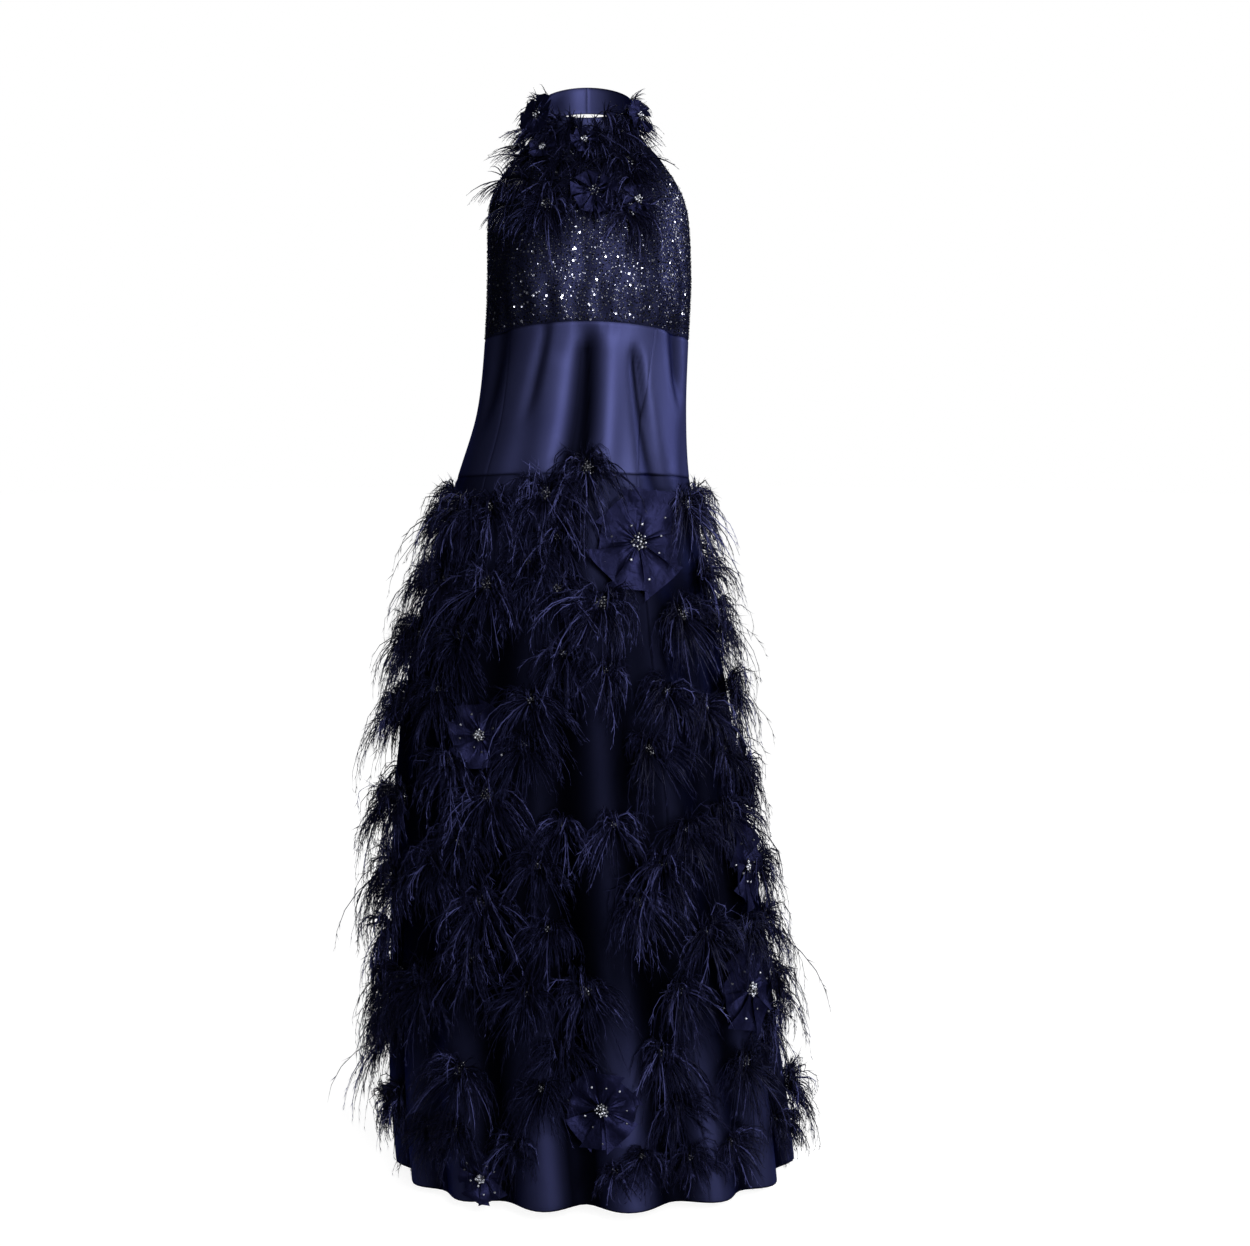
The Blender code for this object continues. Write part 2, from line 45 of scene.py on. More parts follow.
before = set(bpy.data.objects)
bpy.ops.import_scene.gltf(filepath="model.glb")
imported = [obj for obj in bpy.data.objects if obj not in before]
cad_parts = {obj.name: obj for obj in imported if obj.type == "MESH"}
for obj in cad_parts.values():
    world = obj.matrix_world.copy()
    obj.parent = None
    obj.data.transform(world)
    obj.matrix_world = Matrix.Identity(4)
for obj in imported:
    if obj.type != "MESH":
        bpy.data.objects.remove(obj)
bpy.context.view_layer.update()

# The gown's cut, as in the part's source. Only the gap at its seams is finer here, so that the
# thin cloth of two panels meets
NECK_HEIGHT = 1.515
SEAM_GAP = 0.00002
COLLAR_HEIGHT = 0.036
COLLAR_BASE = 1.4975
COLLAR_TILT = 0.0275
EMPIRE_SIDE = 1.209
EMPIRE_RISE = 0.026
HIP_SIDE = 1.017
HIP_RISE = 0.015
HEM_SIDE = 0.011
HEM_RISE = 0.014
BUST_HEIGHT = 1.285
BUST_BEARING = 36.0
BUST_DEPTH = 0.014
BUST_SPREAD = 24.0
BUST_DROP = 0.055
GATHER_COUNT = 26
GATHER_DEPTH = 0.0022
GATHER_REACH = 0.060
PRINCESS_RIGHT = -47.0
PRINCESS_LEFT_TOP = 40.0
PRINCESS_LEFT_BASE = 34.0
BACK_BAND_TOP = 1.275
BACK_BAND_SIDE = 1.372
FOLD_GROWTH = 0.85
SEAM_RADIUS = 0.12
NORMAL_TURN = 0.5
NORMAL_RISE = 0.002

# Columns: height, centre x, half width, front reach, back reach
SECTIONS = np.array((
    (0.000, 0.010, 0.300, 0.232, 0.250),
    (0.150, -0.003, 0.295, 0.224, 0.243),
    (0.350, -0.016, 0.278, 0.206, 0.227),
    (0.550, -0.028, 0.256, 0.185, 0.205),
    (0.750, -0.031, 0.225, 0.161, 0.179),
    (0.900, -0.027, 0.192, 0.142, 0.153),
    (1.017, -0.020, 0.164, 0.127, 0.128),
    (1.110, -0.008, 0.147, 0.119, 0.100),
    (1.220, 0.000, 0.142, 0.118, 0.084),
    (1.290, 0.003, 0.1415, 0.118, 0.085),
    (1.377, 0.002, 0.139, 0.108, 0.085),
    (1.420, 0.001, 0.134, 0.094, 0.080),
    (1.455, 0.001, 0.112, 0.079, 0.074),
    (1.480, 0.000, 0.085, 0.069, 0.070),
    (1.505, 0.000, 0.069, 0.062, 0.066),
    (1.570, 0.000, 0.059, 0.056, 0.060),
))

# Columns: bearing, half width in degrees, depth, top
FOLDS = (
    (-172.0, 8.5, 0.030, 1.10),
    (-147.0, 7.5, 0.024, 1.02),
    (-122.0, 9.0, 0.030, 1.12),
    (-97.0, 7.0, 0.022, 1.00),
    (-73.0, 8.0, 0.026, 1.08),
    (-50.0, 7.5, 0.022, 1.00),
    (-27.0, 8.5, 0.028, 1.16),
    (-2.0, 7.0, 0.034, 1.20),
    (25.0, 8.5, 0.030, 1.20),
    (49.0, 7.0, 0.024, 1.06),
    (74.0, 8.5, 0.028, 1.12),
    (99.0, 7.5, 0.022, 1.00),
    (124.0, 8.5, 0.030, 1.10),
    (150.0, 8.0, 0.024, 1.02),
)

# Columns: height, bearing of the bodice's edge
ARMHOLE = np.array((
    (1.200, 90.0),
    (1.355, 90.0),
    (1.377, 86.0),
    (1.400, 76.0),
    (1.430, 66.0),
    (1.460, 62.0),
    (1.500, 65.0),
))

# Soft creases, listed one by one. Columns: bearing, height and half width in degrees at the low
# end, the same at the high end, and depth in millimetres, which is below zero for a ridge
CREASES = (
    (5.0, 0.840, 14.0, 0.5, 1.242, 5.6, 12.0),
    (54.0, 0.900, 10.0, 27.5, 1.212, 2.6, 9.0),
    (71.0, 1.100, 5.0, 57.0, 1.240, 8.0, 9.0),
    (-32.0, 1.085, 4.0, -21.0, 1.242, 3.0, 4.8),
    (-66.0, 1.060, 5.0, -52.0, 1.238, 9.0, 7.0),
    (-24.0, 0.980, 12.0, -16.0, 1.200, 7.0, -2.0),
    (18.0, 0.990, 8.0, 14.0, 1.225, 6.0, -2.0),
    (-6.0, 1.205, 0.9, -5.5, 1.240, 1.1, 1.0),
    (-2.6, 1.200, 0.9, -2.6, 1.240, 1.1, 1.0),
    (10.4, 1.212, 0.9, 10.6, 1.240, 1.1, 0.9),
    (16.2, 1.206, 1.0, 15.8, 1.238, 1.1, 0.9),
    (21.0, 1.198, 1.0, 20.4, 1.236, 1.2, 1.0),
    (132.0, 1.060, 7.0, 118.0, 1.200, 4.0, 3.4),
    (-128.0, 1.050, 7.0, -120.0, 1.205, 4.0, 3.8),
    (163.0, 1.045, 6.0, 158.0, 1.205, 3.0, 3.0),
    (-158.0, 1.055, 5.0, -160.0, 1.200, 3.0, 3.2),
    (-64.0, 1.225, 6.0, -50.0, 1.345, 5.0, 2.0),
    (66.0, 1.220, 6.0, 58.0, 1.365, 5.0, 2.4),
    (46.0, 1.225, 3.0, 44.0, 1.340, 4.0, 1.6),
    (-2.0, 1.238, 2.0, -3.0, 1.350, 4.5, 2.2),
    (12.0, 1.238, 2.0, 13.0, 1.330, 3.0, 1.4),
    (-19.0, 1.234, 2.0, -23.0, 1.320, 3.6, 1.6),
    (-37.0, 1.230, 2.0, -40.0, 1.330, 3.4, 1.8),
    (29.0, 1.232, 2.0, 31.0, 1.350, 3.0, 1.5),
    (120.0, 1.225, 6.0, 112.0, 1.330, 5.0, 1.6),
    (-138.0, 1.220, 6.0, -125.0, 1.310, 5.0, 1.8),
    (10.0, 0.040, 5.0, 12.0, 0.420, 3.0, 4.0),
    (-14.0, 0.060, 5.0, -12.0, 0.760, 3.0, 3.6),
    (38.0, 0.030, 5.0, 37.0, 0.520, 3.0, 4.0),
    (-62.0, 0.050, 5.0, -60.0, 0.480, 3.0, 3.5),
    (62.0, 0.060, 5.0, 60.0, 0.640, 3.0, 3.5),
    (88.0, 0.040, 5.0, 86.0, 0.400, 3.0, 3.5),
    (-86.0, 0.080, 5.0, -84.0, 0.560, 3.0, 3.0),
    (112.0, 0.050, 5.0, 110.0, 0.500, 3.0, 4.0),
    (-110.0, 0.040, 5.0, -108.0, 0.420, 3.0, 4.0),
    (137.0, 0.060, 5.0, 136.0, 0.600, 3.0, 3.5),
    (-135.0, 0.050, 5.0, -133.0, 0.520, 3.0, 3.6),
    (163.0, 0.040, 5.0, 164.0, 0.460, 3.0, 3.8),
    (-160.0, 0.070, 5.0, -159.0, 0.620, 3.0, 3.4),
)

# Flat width, length and area of each gore
FLATS = {
    "waist_back_right": (0.229, 0.199, 0.0395),
    "waist_side_right": (0.101, 0.200, 0.0186),
    "waist_front": (0.221, 0.205, 0.0428),
    "waist_side_left": (0.132, 0.199, 0.0228),
    "waist_back_left": (0.229, 0.198, 0.0388),
    "skirt_back_right": (0.443, 1.018, 0.362),
    "skirt_side_right": (0.188, 1.020, 0.151),
    "skirt_front": (0.425, 1.018, 0.347),
    "skirt_side_left": (0.253, 1.021, 0.203),
    "skirt_back_left": (0.443, 1.018, 0.363),
}

# Bursts that have a solid. Columns: bearing, height, size
BURSTS = (
    (-21.0, 1.386, 0.70),
    (24.0, 1.380, 0.70),
    (26.0, 1.442, 0.60),
    (7.0, 1.040, 1.00),
    (-12.0, 1.006, 1.00),
    (66.0, 0.985, 1.00),
    (-74.0, 0.960, 1.00),
    (-33.0, 0.881, 1.00),
    (14.0, 0.859, 1.00),
    (51.0, 0.837, 1.00),
    (-70.0, 0.800, 1.00),
    (88.0, 0.720, 1.00),
    (-92.0, 0.690, 1.05),
    (30.0, 0.659, 0.90),
    (-26.0, 0.596, 1.05),
    (-70.0, 0.570, 1.00),
    (-94.0, 0.455, 1.10),
    (22.0, 0.451, 0.95),
    (-28.0, 0.449, 1.05),
    (96.0, 0.367, 1.15),
    (3.0, 0.335, 0.95),
    (-72.0, 0.310, 1.00),
    (-36.0, 0.212, 1.00),
    (53.0, 0.205, 1.00),
    (-93.0, 0.200, 1.05),
    (88.0, 0.130, 1.05),
    (7.0, 0.085, 0.60),
    (-122.0, 0.900, 1.00),
    (118.0, 0.910, 1.00),
    (172.0, 0.960, 1.00),
    (-160.0, 0.690, 1.00),
    (142.0, 0.640, 1.00),
    (-128.0, 0.430, 1.05),
    (166.0, 0.400, 1.05),
    (-162.0, 0.190, 1.00),
    (128.0, 0.180, 1.00),
)

# Smaller bursts between them. Columns: bearing, height, size
FILLERS = {
    "front_upper": (
        (-11.0, 0.729, 0.90),
        (-3.0, 0.878, 0.90),
        (-38.0, 0.985, 0.95),
        (38.0, 0.735, 0.85),
        (-40.0, 0.640, 0.90),
        (-50.0, 0.732, 0.95),
        (-55.0, 0.985, 0.85),
        (-5.0, 0.948, 0.75),
        (-16.0, 0.915, 0.85),
        (-42.0, 0.810, 0.90),
        (-58.0, 0.885, 0.90),
        (0.0, 0.790, 0.80),
        (15.0, 0.768, 0.70),
        (57.0, 0.705, 0.80),
        (-13.0, 0.668, 0.85),
    ),
    "front_lower": (
        (44.0, 0.400, 0.90),
        (-14.0, 0.330, 0.85),
        (15.0, 0.560, 0.70),
        (-20.0, 0.120, 0.75),
        (-9.0, 0.505, 0.80),
        (32.0, 0.325, 0.85),
        (25.0, 0.238, 0.80),
        (-11.0, 0.200, 0.75),
        (-47.0, 0.497, 0.90),
        (-52.0, 0.323, 0.95),
        (-52.0, 0.110, 0.80),
        (40.0, 0.545, 0.80),
        (30.0, 0.090, 0.80),
        (31.0, 0.500, 0.80),
        (-1.0, 0.560, 0.75),
        (-7.0, 0.418, 0.80),
        (-35.0, 0.530, 0.90),
        (-32.0, 0.368, 0.90),
        (-5.0, 0.251, 0.75),
        (-38.0, 0.127, 0.85),
        (28.0, 0.162, 0.85),
        (15.0, 0.105, 0.70),
        (44.0, 0.100, 0.85),
    ),
    "left": (
        (76.0, 0.885, 0.85),
        (70.0, 0.640, 0.75),
        (92.0, 0.990, 0.80),
        (112.0, 0.780, 0.90),
        (114.0, 0.500, 0.95),
        (76.0, 0.240, 0.80),
        (112.0, 0.300, 0.95),
        (68.0, 0.100, 0.80),
        (108.0, 0.100, 0.85),
        (132.0, 0.350, 0.90),
        (140.0, 0.500, 0.90),
        (140.0, 0.860, 0.90),
        (84.0, 0.830, 0.90),
        (87.0, 0.460, 0.90),
        (60.0, 0.560, 0.80),
        (66.0, 0.390, 0.80),
        (84.0, 0.600, 0.85),
        (90.0, 0.280, 0.90),
        (82.0, 0.080, 0.75),
    ),
    "right": (
        (-95.0, 0.880, 0.85),
        (-100.0, 0.990, 0.80),
        (-112.0, 0.790, 0.90),
        (-114.0, 0.580, 0.95),
        (-112.0, 0.330, 0.95),
        (-70.0, 0.440, 0.85),
        (-74.0, 0.130, 0.85),
        (-112.0, 0.110, 0.85),
        (-138.0, 0.300, 0.90),
        (-142.0, 0.560, 0.90),
        (-145.0, 0.820, 0.90),
        (-135.0, 0.150, 0.85),
        (-84.0, 0.800, 0.95),
        (-86.0, 0.560, 0.95),
        (-84.0, 0.370, 0.95),
        (-100.0, 0.700, 0.90),
        (-82.0, 0.250, 0.90),
        (-90.0, 0.300, 0.90),
        (-88.0, 0.100, 0.80),
    ),
    "back": (
        (-150.0, 0.975, 0.90),
        (142.0, 0.985, 0.90),
        (178.0, 0.830, 0.95),
        (160.0, 0.760, 0.90),
        (165.0, 0.570, 0.90),
        (-165.0, 0.440, 0.90),
        (-172.0, 0.310, 0.90),
        (150.0, 0.260, 0.90),
        (170.0, 0.130, 0.90),
        (-158.0, 0.070, 0.75),
        (148.0, 0.090, 0.80),
    ),
}

# Columns: bearing, height, radius, turn in degrees
ROSETTES = (
    (31.0, 0.938, 0.072, 8.0),
    (-29.0, 0.676, 0.050, 31.0),
    (99.0, 0.590, 0.062, 12.0),
    (70.0, 0.470, 0.060, 40.0),
    (58.0, 0.305, 0.062, 22.0),
    (5.0, 0.172, 0.058, 3.0),
    (-31.5, 0.060, 0.036, 17.0),
    (-170.0, 0.540, 0.065, 28.0),
)

# Small beaded flowers on the yoke. Columns: bearing, height, petal length, petals
FLOWERS = (
    (4.0, 1.400, 0.032, 9),
    (27.0, 1.390, 0.024, 8),
    (-50.0, 1.506, 0.033, 11),
    (58.0, 1.504, 0.028, 9),
    (-29.0, 1.458, 0.020, 8),
    (-1.0, 1.468, 0.019, 8),
)

# Rows of feather tufts on the collar and the yoke. Columns: first and last bearing, tufts, how
# far over the collar's base, size, strands
GARLAND = (
    (-120.0, 112.0, 19, 0.030, 0.62, 26),
    (-78.0, 60.0, 14, 0.010, 0.72, 36),
    (-62.0, 40.0, 8, -0.022, 0.78, 44),
    (-54.0, 28.0, 6, -0.050, 0.80, 44),
    (-46.0, 14.0, 5, -0.080, 0.80, 42),
)

# Columns: name, place, size, power
LIGHTS = (
    ("key_light", (0.9, -3.0, 0.7), 1.1, 30.0),
    ("left_light", (-1.6, -2.7, 0.5), 1.1, 5.0),
    ("right_light", (2.7, 0.45, 0.2), 1.2, 17.0),
    ("low_light", (1.5, -2.5, -0.9), 0.9, 13.0),
    ("back_light", (-0.6, 3.0, 1.2), 1.8, 20.0),
)
LIGHT_SPREAD = 120.0
LIGHT_AIM = (0.0, 0.0, -0.42)
CAMERA_PLACE = (0.0529, -2.70, -0.315)
CAMERA_TILT = 81.79
FLOOR_RADIUS = 14.0

# The thin cloth: places of its first points from a seam, how far it rolls in there and over what
# width, the width of the line of painted shade at a seam and how dark it is painted along and
# across the panel, the depths of crease and fold at which their painted shade is darkest, and the
# grid's coarseness on the skirt and above it
EDGE_POINTS = (0.0, 0.0012, 0.0032)
INNER_START = 0.0065
SEAM_ROLL = 0.0005
ROLL_WIDTH = 0.0016
SEAM_LINE = 0.0014
SEAM_PAINTED_SHADE = 0.15
CROSS_SEAM_PAINTED_SHADE = 0.60
PAINTED_SHADE_CREASE = 0.011
PAINTED_SHADE_FOLD = 0.022
SKIRT_GRID = 1.6
BODICE_GRID = 0.8
SHARP_SEAM = 55.0

# Sequins: rows apart and scatter as shares of their spacing, how many are sewn, how far they
# stand off, and the shares and tones of the black, dark, navy and silver ones
ROW_SHARE = 0.9
SCATTER = 0.45
SEQUIN_COVER = 0.86
SEQUIN_LIFT = 0.0007
SEQUIN_SHARES = (0.58, 0.90, 0.972)
SEQUIN_TONES = (0.0, 0.08, 0.20)
SILVER_TONE = 0.95

# Feathers: parts along a strand and how wide it is at each, fronds in a burst, how far barbs
# stand off there and on the garland, and how much lighter a strand is painted towards its tip:
# painted shade at the root and painted light at the tip
STATIONS = 5
TAPER = (1.0, 1.05, 0.98, 0.80, 0.52)
FRONDS = 17
BARB_REACH = 0.026
GARLAND_BARB_REACH = 0.014
BARB_WIDTH = 0.0026
TIP_PAINTED_LIGHT = 0.30

# How far over the hem the feathers end, and over what height they draw up to it
FLOOR_CLEAR = 0.004
HEM_SOFT = 0.030

# Beaded domes: radii of large and small ones, a dome's area in squares of its radius, the share
# of it that beads cover, and the height over which domes are lifted onto the garland
DOME_RADIUS = 0.011
SMALL_DOME_RADIUS = 0.008
DOME_AREA = 2.2
BEAD_COVER = 0.34
FEWEST_BEADS = 12
YOKE_LEVEL = 1.3
YOKE_DOME_LIFT = 0.009

# Rosettes and flowers: petals, thickness, how far petals sink into the solid, the probe's start
# over the solid, and the turn in radians from bead to bead of a spiral
PETALS = 8
PETAL_WALL = 0.0005
PETAL_SINK = 0.0030
SHARP_FOLD = 42.0
PROBE = 0.08
GOLDEN_TURN = 2.4
CENTRE_BEADS = 20
LOOSE_BEADS = 9
FLOWER_BEADS = 12
FLOWER_BEAD = 0.0014
FLOWER_BASE = 0.014
FLOWER_HALF = 17.0

# Navy cast of the lustre on satin, net and taffeta
LUSTRE_TINT = (0.36, 0.40, 1.0, 1.0)
FEATHER_TINT = (0.30, 0.35, 1.0, 1.0)

Panel = namedtuple("Panel", "name slot right left base top middle width length area hangs_from")
Seat = namedtuple("Seat", "origin side up out")


class GownSizes(bpy.types.PropertyGroup):
    """Sizes of the small things on the gown"""

    shell: bpy.props.FloatProperty(
        name="Cloth thickness", description="Thickness of the satin and the net",
        default=0.0009, min=0.0002, max=0.0016, unit="LENGTH")
    grid: bpy.props.FloatProperty(
        name="Cloth grid", description="Distance between two points of the cloth",
        default=0.0065, min=0.003, max=0.02, unit="LENGTH")
    sequin: bpy.props.FloatProperty(
        name="Sequin radius", description="Radius of a sequin on the bodice",
        default=0.00115, min=0.0005, max=0.003, unit="LENGTH")
    sequin_gap: bpy.props.FloatProperty(
        name="Sequin spacing", description="Mean distance between two sequins",
        default=0.0036, min=0.002, max=0.01, unit="LENGTH")
    bead: bpy.props.FloatProperty(
        name="Bead radius", description="Radius of a bead on a dome",
        default=0.0016, min=0.0005, max=0.003, unit="LENGTH")
    strand: bpy.props.FloatProperty(
        name="Strand radius", description="Radius of a feather strand at its root",
        default=0.00105, min=0.0001, max=0.002, unit="LENGTH")
    strands: bpy.props.IntProperty(
        name="Strands", description="Feather strands in a full-size burst",
        default=140, min=10, max=400)
    barbs: bpy.props.IntProperty(
        name="Barbs", description="Fine barbs along one strand",
        default=12, min=0, max=60)


class GownColours(bpy.types.PropertyGroup):
    """Colours of the gown's finishes"""

    satin: bpy.props.FloatVectorProperty(
        name="Satin", description="Colour of the satin where it is lit",
        default=(0.060, 0.067, 0.175), subtype="COLOR", min=0.0, max=1.0)
    satin_deep: bpy.props.FloatVectorProperty(
        name="Deep satin", description="Colour of the satin in its slubs",
        default=(0.045, 0.050, 0.140), subtype="COLOR", min=0.0, max=1.0)
    net: bpy.props.FloatVectorProperty(
        name="Net", description="Colour of the threads of the net",
        default=(0.006, 0.006, 0.011), subtype="COLOR", min=0.0, max=1.0)
    taffeta: bpy.props.FloatVectorProperty(
        name="Taffeta", description="Colour of the rosettes' petals",
        default=(0.0135, 0.0142, 0.049), subtype="COLOR", min=0.0, max=1.0)
    # Painted shade: the root's colour stands for the shade at the heart of a burst.
    feather_root_shade: bpy.props.FloatVectorProperty(
        name="Feather root", description="Colour of the strands where they start",
        default=(0.0010, 0.0010, 0.0030), subtype="COLOR", min=0.0, max=1.0)
    feather: bpy.props.FloatVectorProperty(
        name="Feather", description="Colour of most of a strand",
        default=(0.0090, 0.0092, 0.0280), subtype="COLOR", min=0.0, max=1.0)
    # Painted highlight: the tip's colour stands for the light on the few lit strands.
    feather_tip_highlight: bpy.props.FloatVectorProperty(
        name="Feather tip", description="Colour of the lightest strands at their tips",
        default=(0.080, 0.086, 0.240), subtype="COLOR", min=0.0, max=1.0)
    sequin_dark: bpy.props.FloatVectorProperty(
        name="Dark sequin", description="Colour of the darkest sequins",
        default=(0.005, 0.005, 0.012), subtype="COLOR", min=0.0, max=1.0)
    sequin: bpy.props.FloatVectorProperty(
        name="Silver sequin", description="Colour of the lightest sequins",
        default=(0.62, 0.64, 0.76), subtype="COLOR", min=0.0, max=1.0)
    bead_dark: bpy.props.FloatVectorProperty(
        name="Dark bead", description="Colour of the darkest beads",
        default=(0.004, 0.004, 0.010), subtype="COLOR", min=0.0, max=1.0)
    bead: bpy.props.FloatVectorProperty(
        name="Silver bead", description="Colour of the lightest beads",
        default=(0.70, 0.72, 0.80), subtype="COLOR", min=0.0, max=1.0)
    floor: bpy.props.FloatVectorProperty(
        name="Floor", description="Colour of the floor and the backdrop",
        default=(1.0, 1.0, 1.0), subtype="COLOR", min=0.0, max=1.0)


# Shape of the cloth

def mix(low, high, share):
    """Read a value between two others."""
    return low + (high - low) * share


def read_table(rows, height):
    """Read all the columns of a table at some heights, on a smooth curve through its rows."""
    last = len(rows) - 1
    k = np.clip(np.searchsorted(rows[:, 0], height, side="left") - 1, 0, last - 1)
    before, start, end, after = (
        rows[np.clip(k + step, 0, last)] for step in (-1, 0, 1, 2)
    )
    span = end[:, :1] - start[:, :1]
    share = np.clip((height[:, None] - start[:, :1]) / span, 0.0, 1.0)
    start_slope = (end - before) / (end[:, :1] - before[:, :1]) * span
    end_slope = (after - start) / (after[:, :1] - start[:, :1]) * span
    square = share * share
    cube = square * share
    values = (
        start * (2 * cube - 3 * square + 1)
        + start_slope * (cube - 2 * square + share)
        + end * (3 * square - 2 * cube)
        + end_slope * (cube - square)
    )
    return values[:, 1:].T


def front_share(bearing):
    """One at the centre front, falling to zero at the sides and all over the back."""
    return np.maximum(np.cos(np.radians(bearing)), 0.0)


def collar_base(bearing):
    return COLLAR_BASE - COLLAR_TILT * np.cos(np.radians(bearing))


def collar_top(bearing):
    return collar_base(bearing) + COLLAR_HEIGHT


def empire_seam(bearing):
    return EMPIRE_SIDE + EMPIRE_RISE * front_share(bearing) ** 1.5


def hip_seam(bearing):
    return HIP_SIDE + HIP_RISE * front_share(bearing)


def hem(bearing):
    return HEM_SIDE + HEM_RISE * front_share(bearing) ** 2


def back_band(bearing):
    """Top edge of the low back, from the underarm down to the centre back."""
    share = np.clip((np.abs(bearing) - 90.0) / 90.0, 0.0, 1.0)
    return mix(BACK_BAND_SIDE, BACK_BAND_TOP, np.sin(share * math.pi / 2) ** 0.8)


def armhole_left(height):
    return np.minimum(read_table(ARMHOLE, height)[0], 90.0)


def armhole_right(height):
    return -armhole_left(height)


def princess_left(height):
    share = np.clip((EMPIRE_SIDE - height) / (EMPIRE_SIDE - HIP_SIDE), 0.0, 1.0)
    return mix(PRINCESS_LEFT_TOP, PRINCESS_LEFT_BASE, share)


def fixed(bearing):
    """A straight seam that keeps its bearing at every height."""
    return lambda height: np.full_like(height, bearing)


def wrap(degrees):
    return (degrees + 180.0) % 360.0 - 180.0


def fold_depth(bearing, height):
    """How far the folds pull the cloth in, deeper towards the hem."""
    total = np.zeros_like(bearing)
    for place, half_width, depth, top in FOLDS:
        growth = np.clip((top - height) / top, 0.0, 1.0) ** FOLD_GROWTH
        total += depth * growth * np.exp(-(wrap(bearing - place) / half_width) ** 2)
    return total


def bust_rise(bearing, height):
    """The bust cups, and the gathers that fall to the seam under them."""
    across = (np.abs(bearing) - BUST_BEARING) / BUST_SPREAD
    along = (height - BUST_HEIGHT) / BUST_DROP
    cup = BUST_DEPTH * np.exp(-across * across - along * along)
    above = np.clip((height - empire_seam(bearing)) / GATHER_REACH, 0.0, 1.0)
    wave = np.cos(np.radians(bearing) * GATHER_COUNT)
    return cup + GATHER_DEPTH * wave * front_share(bearing) * np.sin(above * math.pi)


def crease_depth(bearing, height):
    """How far the listed creases pull the cloth in."""
    total = np.zeros_like(bearing)
    for low_bearing, low, low_width, high_bearing, high, high_width, depth in CREASES:
        share = np.clip((height - low) / (high - low), 0.0, 1.0)
        centre = mix(low_bearing, high_bearing, share)
        reach = np.clip(np.minimum(share / 0.50, (1.0 - share) / 0.12), 0.0, 1.0)
        away = wrap(bearing - centre) / mix(low_width, high_width, share)
        total += depth * 0.001 * reach * reach * (3 - 2 * reach) * np.exp(-away * away)
    return total


def outward(bearing):
    """The level direction that a bearing points in."""
    angle = np.radians(bearing)
    return np.stack((np.sin(angle), -np.cos(angle), np.zeros_like(angle)), axis=1)


def form(bearing, height):
    """Points of the gown's outside before its folds."""
    centre_x, half_width, front, back = read_table(SECTIONS, height)
    angle = np.radians(bearing)
    reach = np.where(np.cos(angle) > 0.0, front, back)
    points = np.stack(
        (centre_x + half_width * np.sin(angle), -reach * np.cos(angle), height - NECK_HEIGHT),
        axis=1,
    )
    return points + outward(bearing) * bust_rise(bearing, height)[:, None]


def cloth(bearing, height):
    """Points of the gown's outside, with its folds and creases."""
    inward = fold_depth(bearing, height) + crease_depth(bearing, height)
    return form(bearing, height) - outward(bearing) * inward[:, None]


def unit(vectors):
    return vectors / np.maximum(np.linalg.norm(vectors, axis=-1, keepdims=True), 1e-12)


def cloth_normal(bearing, height):
    across = cloth(bearing + NORMAL_TURN, height) - cloth(bearing - NORMAL_TURN, height)
    along = cloth(bearing, height + NORMAL_RISE) - cloth(bearing, height - NORMAL_RISE)
    return unit(np.cross(across, along))


def nearest_place(points):
    """Bearing and height of the cloth that lies level with some points."""
    height = points[:, 2] + NECK_HEIGHT
    centre_x, half_width, front, back = read_table(SECTIONS, height)
    reach = np.where(points[:, 1] < 0.0, front, back)
    bearing = np.degrees(np.arctan2((points[:, 0] - centre_x) / half_width, -points[:, 1] / reach))
    return bearing, height, centre_x


def lift_clear(points, clearance):
    """Move points that lie under the cloth out to just over it."""
    bearing, height, centre_x = nearest_place(points)
    skin = cloth(bearing, height)
    middle = np.stack((centre_x, np.zeros_like(centre_x), points[:, 2]), axis=1)
    out = unit(skin - middle)
    short = np.linalg.norm(skin - middle, axis=1) + clearance
    short -= np.einsum("ij,ij->i", points - middle, out)
    lifted = points + out * np.maximum(short, 0.0)[:, None]
    over = lifted[:, 2] + NECK_HEIGHT - hem(bearing) - FLOOR_CLEAR
    low = np.minimum(over, HEM_SOFT)
    lifted[:, 2] += HEM_SOFT * np.exp(low / HEM_SOFT - 1.0) - low
    return lifted


# Cloth pieces

def panels():
    """The cut panels of the gown, with the flat size of each."""
    cut = [
        Panel("collar_band", "satin", fixed(-180.0), fixed(180.0), collar_base, collar_top,
              COLLAR_BASE, 0.466, 0.037, 0.0159, ()),
        Panel("bodice_front", "sequin_net", armhole_right, armhole_left, empire_seam,
              collar_base, 1.34, 0.440, 0.310, 0.0937, ("collar_band",)),
        Panel("bodice_back_left", "sequin_net", fixed(90.0), fixed(180.0), empire_seam,
              back_band, 1.25, 0.215, 0.165, 0.0169, ("bodice_front",)),
        Panel("bodice_back_right", "sequin_net", fixed(-180.0), fixed(-90.0), empire_seam,
              back_band, 1.25, 0.215, 0.165, 0.0169, ("bodice_front",)),
    ]
    tiers = (
        ("waist", hip_seam, empire_seam, 1.11),
        ("skirt", hem, hip_seam, 0.50),
    )
    gores = (
        ("back_right", fixed(-180.0), fixed(-90.0)),
        ("side_right", fixed(-90.0), fixed(PRINCESS_RIGHT)),
        ("front", fixed(PRINCESS_RIGHT), princess_left),
        ("side_left", princess_left, fixed(90.0)),
        ("back_left", fixed(90.0), fixed(180.0)),
    )
    for tier, base, top, middle in tiers:
        for gore, right, left in gores:
            name = f"{tier}_{gore}"
            hung = "waist_" + gore if tier == "skirt" else "bodice_front"
            cut.append(Panel(name, "satin", right, left, base, top, middle, *FLATS[name], (hung,)))
    return cut


def stations(count, length):
    """Places along a panel, closer together at its two seams."""
    edge = np.array(EDGE_POINTS) / length
    start = INNER_START / length
    inner = np.linspace(start, 1.0 - start, max(count - 5, 2))
    return np.concatenate((edge, inner, 1.0 - edge[::-1]))


